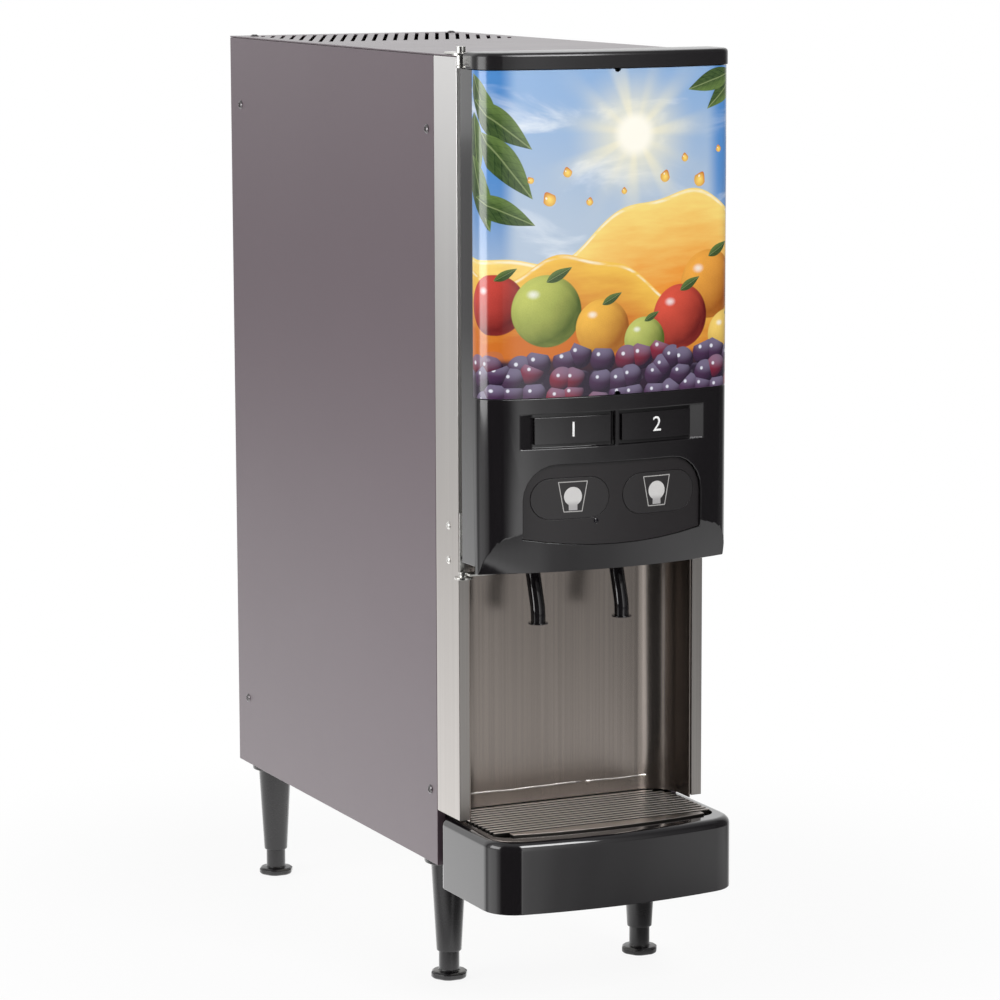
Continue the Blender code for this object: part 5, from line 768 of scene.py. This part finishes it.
def follow_bow(piece, centre_y):
    """Shade faces that look straight out from a vertical axis with that direction itself:
    normal = (x, y - centre, 0), made one long. The chin's faces take their own direction.
    """
    shaped = final_mesh(piece)
    piece.modifiers.clear()
    piece.data = shaped
    count = len(shaped.loops)
    normals, faces = np.empty(count * 3), np.empty(len(shaped.polygons) * 3)
    points = np.empty(len(shaped.vertices) * 3)
    corners, owners = np.empty(count, int), np.empty(len(shaped.polygons), int)
    shaped.corner_normals.foreach_get("vector", normals)
    shaped.polygons.foreach_get("normal", faces)
    shaped.polygons.foreach_get("loop_total", owners)
    shaped.vertices.foreach_get("co", points)
    shaped.loops.foreach_get("vertex_index", corners)
    normals, faces = normals.reshape(-1, 3), np.repeat(faces.reshape(-1, 3), owners, axis=0)
    out = points.reshape(-1, 3)[corners] - (0, centre_y, 0)
    out[:, 2] = 0
    out /= np.linalg.norm(out, axis=1, keepdims=True)
    facing = np.sum(out * faces, axis=1) > math.cos(BOW_ANGLE)
    normals[facing] = out[facing]
    if piece.name.startswith("door_fascia"):
        chin = chin_normal(points.reshape(-1, 3)[corners])
        leaning = (faces[:, 2] < CHIN_LOOKS_DOWN) & (faces[:, 2] > UNDERSIDE_LOOKS_DOWN)
        facing = leaning & (np.sum(chin * faces, axis=1) > math.cos(CHIN_ANGLE))
        normals[facing] = chin[facing]
    shaped.normals_split_custom_set(normals.tolist())


def dressed(node, finish, edge=0.0, fold=FOLD_ANGLE):
    """Merged copy of a CAD solid with its edges rounded and its curves shaded smooth."""
    mesh = bpy.data.meshes.new(node + "_skin")
    work = bmesh.new()
    work.from_mesh(NODES[node].data)
    bmesh.ops.remove_doubles(work, verts=work.verts, dist=MERGE)
    if node not in PERFORATED:
        bmesh.ops.dissolve_limit(work, angle_limit=FLAT_ANGLE, verts=work.verts,
                                 edges=work.edges)
    work.to_mesh(mesh)
    work.free()
    mesh.shade_smooth()
    piece = piece_of(node + "_skin", mesh)
    if edge:
        soften = piece.modifiers.new("rounded_edges", "BEVEL")
        soften.width = edge
        soften.segments = EDGE_STEPS
        soften.limit_method = "ANGLE"
        soften.angle_limit = fold
        soften.use_clamp_overlap = False
        level = piece.modifiers.new("even_faces", "WEIGHTED_NORMAL")
        level.weight = 60
        level.keep_sharp = True
    else:
        mesh.set_sharp_from_angle(angle=FOLD_ANGLE)
    if node in BOWED:
        follow_bow(piece, BOWED[node])
    return settle(piece, NODES[node]["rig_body"], finish, node)


for node, finish, edge in (
        ("left_side_panel", "paint", 0.0006), ("right_side_panel", "paint", 0.0006),
        ("top_cover", "paint", 0.0004), ("rear_panel", "paint", 0.0004),
        ("front_frame", "upright", 0.0006), ("splash_panel", "splash", 0.0003),
        ("door_fascia", "gloss", 0.0008), ("door_cap", "cap", 0.0),
        ("graphic_panel", "picture", 0.0004), ("control_panel", "panel", 0.00025),
        ("button_left", "push", 0.00025), ("button_right", "push", 0.00025),
        ("label_plate_left", "gloss", 0.0005), ("label_plate_right", "gloss", 0.0005),
        ("drip_tray", "gloss", 0.0006), ("drip_grille", "bars", 0.0005),
        ("nozzle_left", "gloss", 0.0003), ("nozzle_right", "gloss", 0.0003),
        ("upper_hinge_bracket", "zinc", 0.0003), ("lower_hinge_bracket", "zinc", 0.0003),
        ("upper_hinge_leaf", "zinc", 0.0003), ("lower_hinge_leaf", "zinc", 0.0003),
        ("power_entry", "satin", 0.0004), ("power_rocker", "gloss", 0.0004),
        ("juice_container_left", "milky", 0.0), ("juice_container_right", "milky", 0.0),
        ("compressor", "black_metal", 0.0), ("door_gasket", "rubber", 0.0012),
        ("cold_liner", "white", 0.0006), ("door_inner_panel", "white", 0.0008)):
    dressed(node, finish, edge, fold=SHALLOW_FOLD if node == "door_fascia" else FOLD_ANGLE)

KEPT = {
    "zinc": ("base_pan", "component_shelf", "power_supply"),
    "foam": ("foam_jacket",), "white": ("container_shelf", "chill_tank", "chill_tank_lid",
                                        "light_board"),
    "satin": ("pump_left", "pump_right", "fan"), "copper": ("chilling_coil",),
    "black_metal": ("agitator_motor", "fan_shroud", "fan_motor"), "fins": ("condenser",),
    "board": ("control_board", "button_board"), "brass": ("water_valve",),
    "shaft": ("agitator",),
}
for finish, nodes in KEPT.items():
    for node in nodes:
        coat(NODES[node], finish)


# New surfaces

def surface(name, grid):
    """Mesh over a grid of points, rows by columns; the columns join up round the piece."""
    rows, columns = grid.shape[:2]
    index = np.arange(rows * columns).reshape(rows, columns)
    index = np.hstack([index, index[:, :1]])
    quads = np.stack([index[:-1, :-1], index[1:, :-1], index[1:, 1:], index[:-1, 1:]], axis=-1)
    mesh = bpy.data.meshes.new(name)
    mesh.from_pydata(grid.reshape(-1, 3).tolist(), [], quads.reshape(-1, 4).tolist())
    work = bmesh.new()
    work.from_mesh(mesh)
    bmesh.ops.remove_doubles(work, verts=work.verts, dist=MERGE / 10)
    bmesh.ops.dissolve_degenerate(work, edges=work.edges, dist=MERGE / 10)
    bmesh.ops.recalc_face_normals(work, faces=work.faces)
    work.to_mesh(mesh)
    work.free()
    mesh.shade_smooth()
    mesh.set_sharp_from_angle(angle=SURFACE_FOLD)
    return mesh


def softened(profile, radius, steps=5):
    """Open profile whose inner corners are replaced by quadratic curves of a given reach."""
    points = [np.array(profile[0], float)]
    for before, corner, after in zip(profile, profile[1:], profile[2:]):
        before, corner, after = (np.array(p, float) for p in (before, corner, after))
        reach = [min(radius, 0.45 * np.linalg.norm(p - corner)) for p in (before, after)]
        start = corner + (before - corner) / np.linalg.norm(before - corner) * reach[0]
        end = corner + (after - corner) / np.linalg.norm(after - corner) * reach[1]
        share = np.linspace(0, 1, steps)[:, None]
        points += list((1 - share) ** 2 * start + 2 * share * (1 - share) * corner
                       + share ** 2 * end)
    points.append(np.array(profile[-1], float))
    return np.array(points)


def circle(count):
    """Angles evenly round a full turn."""
    return np.linspace(0, 2 * np.pi, count, endpoint=False)


def lathe(name, profile, centre, share):
    """Profile of (radius, height) turned about Z: x = r cos t, y = r sin t.

    The share scales the radius at each angle, and may differ from row to row.
    """
    angle, reach = circle(share.shape[-1]), profile[:, :1] * share
    grid = np.stack([reach * np.cos(angle), reach * np.sin(angle),
                     np.broadcast_to(profile[:, 1:], reach.shape)], axis=-1)
    return surface(name, grid + np.array(centre))


ROUND_COUNT, SIX_SIDED_COUNT, SIX_FLAT_SHARE = 64, 72, 0.95


def six_sided(profile, flat_from):
    """Radius share that makes wide rows six-sided: min(1, flat share / cos(angle to the flat))."""
    angle = circle(SIX_SIDED_COUNT)
    flat = np.minimum(1, SIX_FLAT_SHARE / np.cos((angle % (np.pi / 3)) - np.pi / 6))
    wide = np.clip((profile[:, :1] - flat_from) / 0.001, 0, 1)
    return 1 + wide * (flat - 1)


LEG_ROUND, LEG_CLEARANCE = 0.0010, 0.0003
FLANGE_HEIGHT, SLEEVE_NECK_DROP = 0.004, 0.007
SLEEVE_TOP_RADIUS, SLEEVE_NECK_RADIUS = 0.0158, 0.0155
SLEEVE_LOW_RADIUS, SLEEVE_END_RADIUS = 0.0112, 0.0106
SLEEVE_BORE, STEM_CLEARANCE = 0.0096, 0.0004
SHOE_TOP_Z, SHOE_SHOULDER_Z, SHOE_BRIM_Z, SHOE_EDGE_Z = 0.0072, 0.0066, 0.0062, 0.0048
SHOE_FOOT_Z, SHOE_SHOULDER_RADIUS = 0.0014, 0.0100
SHOE_BRIM_INSET, SHOE_FOOT_INSET = 0.0020, 0.0012


def legs():
    """Tapered sleeve under a broad flange, and a six-sided levelling foot on its stem."""
    for corner in ("front_left", "front_right", "rear_left", "rear_right"):
        low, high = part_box("leg_sleeve_" + corner)
        foot_low, foot_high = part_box("levelling_foot_" + corner)
        centre = ((low.x + high.x) / 2, (low.y + high.y) / 2, 0)
        flange = (high.x - low.x) / 2
        pad = (foot_high.x - foot_low.x) / 2
        seat = foot_high.z + LEG_CLEARANCE
        sleeve = [(0, high.z), (flange, high.z), (flange, high.z - FLANGE_HEIGHT),
                  (SLEEVE_TOP_RADIUS, high.z - FLANGE_HEIGHT),
                  (SLEEVE_NECK_RADIUS, high.z - SLEEVE_NECK_DROP),
                  (SLEEVE_LOW_RADIUS, low.z + LEG_ROUND / 2), (SLEEVE_END_RADIUS, low.z),
                  (SLEEVE_BORE, low.z), (SLEEVE_BORE, seat), (0, seat)]
        mesh = lathe("leg_" + corner, softened(sleeve, LEG_ROUND), centre, np.ones(ROUND_COUNT))
        settle(piece_of("leg_" + corner, mesh), "cabinet", "satin", "leg_sleeve_" + corner)
        stem = SLEEVE_BORE - STEM_CLEARANCE
        shoe = [(0, foot_high.z), (stem, foot_high.z), (stem, SHOE_TOP_Z),
                (SHOE_SHOULDER_RADIUS, SHOE_SHOULDER_Z), (pad - SHOE_BRIM_INSET, SHOE_BRIM_Z),
                (pad, SHOE_EDGE_Z), (pad, SHOE_FOOT_Z), (pad - SHOE_FOOT_INSET, foot_low.z),
                (0, foot_low.z)]
        shoe = softened(shoe, LEG_ROUND / 2)
        mesh = lathe("foot_" + corner, shoe, centre, six_sided(shoe, stem + 0.001))
        settle(piece_of("foot_" + corner, mesh), "levelling_foot_" + corner, "satin",
               "levelling_foot_" + corner)


SCREW_TURN = {"left": Matrix.Rotation(math.radians(-90), 4, "Y"),
              "right": Matrix.Rotation(math.radians(90), 4, "Y"),
              "top": Matrix.Identity(4)}
CROSS_TURN = Matrix.Rotation(math.radians(31), 4, "Z")
SCREW_SUNK = 0.0002


def screw(name, place, faces, radius, finish, *nodes):
    """Pan head: height falls as a flat dome, less a cross recess near the middle.

    The recess is where one of the two distances to the cross's arms is small.
    """
    crown = 0.42 * radius
    share = np.linspace(0, 1, 22)[:, None]
    angle = circle(ROUND_COUNT)[None, :]
    x, y = radius * share * np.cos(angle), radius * share * np.sin(angle)
    dome = crown * (1 - share ** 3.2) * np.ones_like(angle)
    arm = np.minimum(np.abs(x), np.abs(y))
    along = np.maximum(np.abs(x), np.abs(y))
    recess = (np.clip((0.17 * radius - arm) / (0.06 * radius), 0, 1)
              * np.clip((0.58 * radius - along) / (0.10 * radius), 0, 1))
    top = np.stack([x, y, dome - 0.5 * crown * recess], axis=-1)
    foot = top[-1:] * (1, 1, 0) - (0, 0, SCREW_SUNK)
    middle = foot * (0, 0, 1)
    mesh = surface(name, np.concatenate([top, foot, middle]))
    mesh.transform(Matrix.Translation(place) @ SCREW_TURN[faces] @ CROSS_TURN)
    return settle(piece_of(name, mesh), "cabinet", finish, *nodes)


PANEL_SCREW_RADIUS, FRONT_SCREW_RADIUS = 0.0044, 0.0042
SIDE_SCREW_Z = {"low": 0.1755, "high": 0.7535}
SIDE_SCREW_Y = {"front": -0.158, "rear": 0.2773}
TOP_SCREW_REAR, TOP_SCREW_FRONT = (0.103, 0.2773), (0.079, -0.2087)


def screws():
    """Screws of the side panels, the top cover and the hinge brackets."""
    for side, x in (("left", PANEL_LOW.x), ("right", -PANEL_LOW.x)):
        for row, z in SIDE_SCREW_Z.items():
            for end, y in SIDE_SCREW_Y.items():
                screw("side_screw_" + "_".join((side, row, end)), (x, y, z), side,
                      PANEL_SCREW_RADIUS, "screw_dark")
    top_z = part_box("top_cover")[1].z
    for side, sign in (("left", -1), ("right", 1)):
        x, y = TOP_SCREW_REAR
        screw("top_screw_rear_" + side, (sign * x, y, top_z), "top", PANEL_SCREW_RADIUS,
              "screw_dark")
        x, y = TOP_SCREW_FRONT
        screw("top_screw_front_" + side, (sign * x, y, top_z), "top", FRONT_SCREW_RADIUS, "zinc")
    for row in ("upper", "lower"):
        low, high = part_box("hinge_screw_" + row)
        screw("bracket_screw_" + row, (FRAME_LOW.x, (low.y + high.y) / 2, (low.z + high.z) / 2),
              "left", (high.y - low.y) / 2, "zinc", "hinge_screw_" + row)


NUMERAL_SIZE, NUMERAL_DEPTH = 0.0182, 0.00012


def numerals():
    """A figure on each label window, raised by a film's thickness along the bow's normal."""
    depth = PLATE_LOW.y - DOOR_FRONT_Y
    for side, sign, figure in (("left", -1, "1"), ("right", 1, "2")):
        curve = bpy.data.curves.new("figure_" + figure, "FONT")
        curve.body = figure
        curve.size = NUMERAL_SIZE
        curve.align_x, curve.align_y = "CENTER", "CENTER"
        curve.extrude = NUMERAL_DEPTH
        curve.resolution_u = 8
        text = piece_of("figure_" + figure, curve)
        mesh = final_mesh(text)
        bpy.data.objects.remove(text, do_unlink=True)
        x = sign * (PLATE_LOW.x + PLATE_HIGH.x) / 2
        place = Matrix.Translation((x, bow_y(x, depth), (PLATE_LOW.z + PLATE_HIGH.z) / 2))
        facing = Matrix.Rotation(math.asin(x / DOOR_BOW_RADIUS), 4, "Z")
        mesh.transform(place @ facing @ Matrix.Rotation(math.radians(90), 4, "X"))
        settle(piece_of("window_figure_" + figure, mesh), "door", "numeral")


BEND_Z, BEND_FACE_Y, BEND_CORNER = 0.1700, -0.1692, 0.0270
BEND_HALF_HEIGHT, BEND_RISE, BEND_SUNK, BEND_BACK = 0.0013, 0.0009, 0.0002, 0.0006
BEND_PAST_LEFT, BEND_PAST_RIGHT, BEND_TAPER = 0.016, 0.027, 0.012


def rolled_bend():
    """Roll along the foot of the splash panel, a little uneven as pressed sheet is.

    Half ellipse, out = rise sin a and z = bend + half cos a, carried along the face and round
    each corner, where the path turns by (length past the straight) / corner radius.
    """
    straight = SPLASH_HIGH.x - BEND_CORNER
    length = np.linspace(-straight - BEND_PAST_LEFT, straight + BEND_PAST_RIGHT, 320)[:, None]
    turn = np.maximum(np.abs(length) - straight, 0) / BEND_CORNER
    side = np.sign(length)
    x = side * (np.minimum(np.abs(length), straight) + BEND_CORNER * np.sin(turn))
    y = BEND_FACE_Y - BEND_CORNER * (1 - np.cos(turn))
    angle = np.linspace(0, np.pi, 13)[None, :]
    uneven = 0.00030 * np.sin(61 * length + 1) + 0.00014 * np.sin(173 * length)
    nicks = 1 - 0.7 * np.exp(-((np.sin(38 * length + 0.6) - 1) / 0.02) ** 2)
    to_end = np.minimum(length - length[0], length[-1] - length)
    ends = np.clip(to_end / BEND_TAPER, 0, 1) ** 0.5
    rise = BEND_RISE * ends * nicks * np.sin(angle) - BEND_SUNK
    out_x, out_y = -side * np.sin(turn), -np.cos(turn)
    high = BEND_Z + uneven + BEND_HALF_HEIGHT * np.cos(angle)
    front = np.stack([x + out_x * rise, y + out_y * rise, high], axis=-1)
    back = np.stack([x - out_x * BEND_BACK + 0 * angle, y - out_y * BEND_BACK + 0 * angle,
                     high], axis=-1)
    closed = np.concatenate([front, back[:, ::-1]], axis=1)
    settle(piece_of("splash_bend", surface("splash_bend", closed)), "cabinet", "bend")


SENSOR_X, SENSOR_Z, SENSOR_RADIUS = -0.0185, 0.4253, 0.0021
SENSOR_DEPTH, SENSOR_DOME, SENSOR_EDGE = 0.0032, 0.0006, 0.0010


def sensor_lens():
    """Low dome in the hole of the control panel: y falls with the square of the radius."""
    share = np.linspace(0, 1, 10)[:, None]
    angle = circle(40)[None, :]
    face_y = bow_y(SENSOR_X, SENSOR_DEPTH)
    grid = np.stack([SENSOR_X + SENSOR_RADIUS * share * np.cos(angle),
                     face_y - SENSOR_DOME * (1 - share ** 2) * np.ones_like(angle),
                     SENSOR_Z + SENSOR_RADIUS * share * np.sin(angle)], axis=-1)
    rim = grid[-1:] + (0, SENSOR_EDGE, 0)
    middle = rim * 0 + (SENSOR_X, face_y + SENSOR_EDGE, SENSOR_Z)
    mesh = surface("sensor_lens", np.concatenate([grid, rim, middle]))
    settle(piece_of("sensor_lens", mesh), "door", "lens")


legs()
screws()
numerals()
rolled_bend()
sensor_lens()


# Light, floor and camera

ROOM_PEAK = 1.7
ROOM = ((0.0, 0.50), (0.035, 0.30), (0.065, 0.02), (0.245, 0.02), (0.254, 1.0), (0.275, 0.62),
        (0.30, 0.38), (0.325, 0.26), (0.36, 0.13), (0.40, 0.05), (0.52, 0.06), (0.60, 0.35),
        (0.68, 0.60), (0.82, 0.58), (0.855, 0.50), (0.885, 0.18), (0.93, 0.50), (1.0, 0.50))


def room_tone():
    """Brightness of the room in a level direction: pale behind and left, darker in front."""
    group, given, result = effect("room_tone", [("Along", VALUE, 0), ("Across", VALUE, 0)],
                                  [("Tone", VALUE)])
    across, along = taken(group, given, "Across", "Along")
    around = across.maths("ARCTAN2", along) / (2 * math.pi) + 0.5
    ramp = group.nodes.new("ShaderNodeValToRGB")
    ramp.color_ramp.interpolation = "EASE"
    stops = ramp.color_ramp.elements
    while len(stops) < len(ROOM):
        stops.new(0.5)
    for stop, (place, value) in zip(stops, ROOM):
        stop.position = place
        stop.color = (value, value, value, 1)
    feed(group, ramp.inputs[0], around)
    return give(group, result, Tone=Field(group, ramp.outputs[0]) * ROOM_PEAK)


ROOM_TONE = room_tone()


def toned(tree, x, y):
    """Tone of the room in the level direction (x, y)."""
    return used(tree, ROOM_TONE, Along=x, Across=y)["Tone"]


FLOOR_Z = -0.0002
PAINTED_POOL_X, PAINTED_POOL_Y, PAINTED_POOL_RADIUS = 0.62, -0.62, 0.62
DOOR_CORNER_X, DOOR_CORNER_Y = -0.10, -0.27


def sweep_floor():
    """Pale disc: white to the camera with a soft shadow. In reflections it shows painted light: a
    brightness that falls with distance and follows the tone of the room behind it, a painted pool
    of light to the front right, a painted shadow just in front of the machine and a darker painted
    strip further out.
    """
    reach = np.array([0.0, 0.3, 0.6, 1.0, 2.0, 5.0, 12.0])
    angle = circle(96)
    grid = np.stack([reach[:, None] * np.cos(angle), reach[:, None] * np.sin(angle),
                     np.zeros((len(reach), len(angle)))], axis=-1)
    floor = piece_of("counter", surface("counter", grid))
    material = bpy.data.materials.new("pale_counter")
    material.use_nodes = True
    tree = material.node_tree
    shader = tree.nodes["Principled BSDF"]
    shader.inputs["Base Color"].default_value = (0.80, 0.80, 0.80, 1)
    shader.inputs["Roughness"].default_value = 0.7
    x, y, _ = parted(tree, tree.nodes.new("ShaderNodeTexCoord").outputs["Object"])
    length = (x * x + y * y).root()
    camera, glossy, through = light_path(tree, "Camera", "Glossy", "Transmission")
    share = length.step(0.30, 0.80) * 0.10 + 0.90
    # painted light in the reflected floor: brighter near the machine, dimmer far off
    painted_falloff = (length * -0.27 + 1.85).most(0.45)
    # painted shade: a darker strip across the reflected floor, further out in front
    painted_dull_strip = y.step(-1.25, -1.50) * y.step(-2.60, -2.35)
    # painted pool of light on the reflected floor, to the front right
    pool_x, pool_y = x - PAINTED_POOL_X, y - PAINTED_POOL_Y
    painted_light_pool = (pool_x * pool_x + pool_y * pool_y).root().step(PAINTED_POOL_RADIUS, 0.10)
    # painted shadow on the reflected floor just in front of the machine
    near = length.step(1.15, 0.85) * y.step(-0.2, -0.5)
    reach = painted_falloff * (1 - painted_dull_strip * 0.45) * (1 - near * 0.5)
    mirrored = toned(tree, x - DOOR_CORNER_X, y - DOOR_CORNER_Y) * reach + painted_light_pool * 0.75
    white = made(tree, "Emission", Strength=glossy * (mirrored - 1) + 1)
    mix = tree.nodes.new("ShaderNodeMixShader")
    feed(tree, mix.inputs[0], (camera.most(through) * share).most(glossy))
    tree.links.new(shader.outputs[0], mix.inputs[1])
    tree.links.new(white.outputs[0], mix.inputs[2])
    tree.links.new(mix.outputs[0], tree.nodes["Material Output"].inputs["Surface"])
    floor.data.materials.append(material)
    floor.location.z = FLOOR_Z


def studio_world():
    """White to the camera; in light and reflections the room's tone, with a grey ceiling."""
    world = bpy.data.worlds.new("studio")
    world.use_nodes = True
    bpy.context.scene.world = world
    tree = world.node_tree
    x, y, z = parted(tree, tree.nodes.new("ShaderNodeTexCoord").outputs["Generated"])
    overhead = z.step(0.60, 0.98)
    room = mixed(tree, overhead, toned(tree, x, y) * 1.1, (0.50, 0.50, 0.51))
    camera, through = light_path(tree, "Camera", "Transmission")
    colour = mixed(tree, camera.most(through), room, (1.0, 1.0, 1.0))
    tree.links.new(colour, tree.nodes["Background"].inputs["Color"])


def lamp(name, place, aim, size, power):
    """Rectangular lamp turned towards its aim."""
    light = bpy.data.lights.new(name, "AREA")
    light.shape = "RECTANGLE"
    light.size, light.size_y = size
    light.energy = power
    obj = piece_of(name, light)
    obj.location = place
    obj.rotation_euler = (Vector(aim) - Vector(place)).to_track_quat("-Z", "Y").to_euler()


CAMERA_PLACE = Vector((-1.4746, -3.1978, 0.9522))
CAMERA_YAW, CAMERA_PITCH, CAMERA_ROLL = 0.4383, 0.1550, -0.0030
CAMERA_LENS_MM, CAMERA_SENSOR_MM = 139.81, 36


def photo_camera():
    """Camera solved from the photograph: turned about Z, tipped down and rolled a little."""
    forward = Vector((math.sin(CAMERA_YAW) * math.cos(CAMERA_PITCH),
                      math.cos(CAMERA_YAW) * math.cos(CAMERA_PITCH), -math.sin(CAMERA_PITCH)))
    right = Vector((math.cos(CAMERA_YAW), -math.sin(CAMERA_YAW), 0))
    up = right.cross(forward)
    tilt = (math.cos(CAMERA_ROLL), math.sin(CAMERA_ROLL))
    level = right * tilt[0] + up * tilt[1]
    rise = up * tilt[0] - right * tilt[1]
    data = bpy.data.cameras.new("photo_view")
    data.lens = CAMERA_LENS_MM
    data.sensor_width = CAMERA_SENSOR_MM
    camera = piece_of("photo_view", data)
    turn = Matrix((level, rise, -forward)).transposed()
    camera.matrix_world = Matrix.Translation(CAMERA_PLACE) @ turn.to_4x4()
    bpy.context.scene.camera = camera


sweep_floor()
studio_world()
lamp("key_left", (-1.72, -0.14, 0.72), (-0.11, -0.16, 0.60), (1.15, 0.85), 13)
lamp("fill_front", (0.5, -2.6, 2.4), (0, -0.2, 0.5), (1.2, 1.2), 55)
photo_camera()
bpy.context.scene.view_settings.view_transform = "Standard"
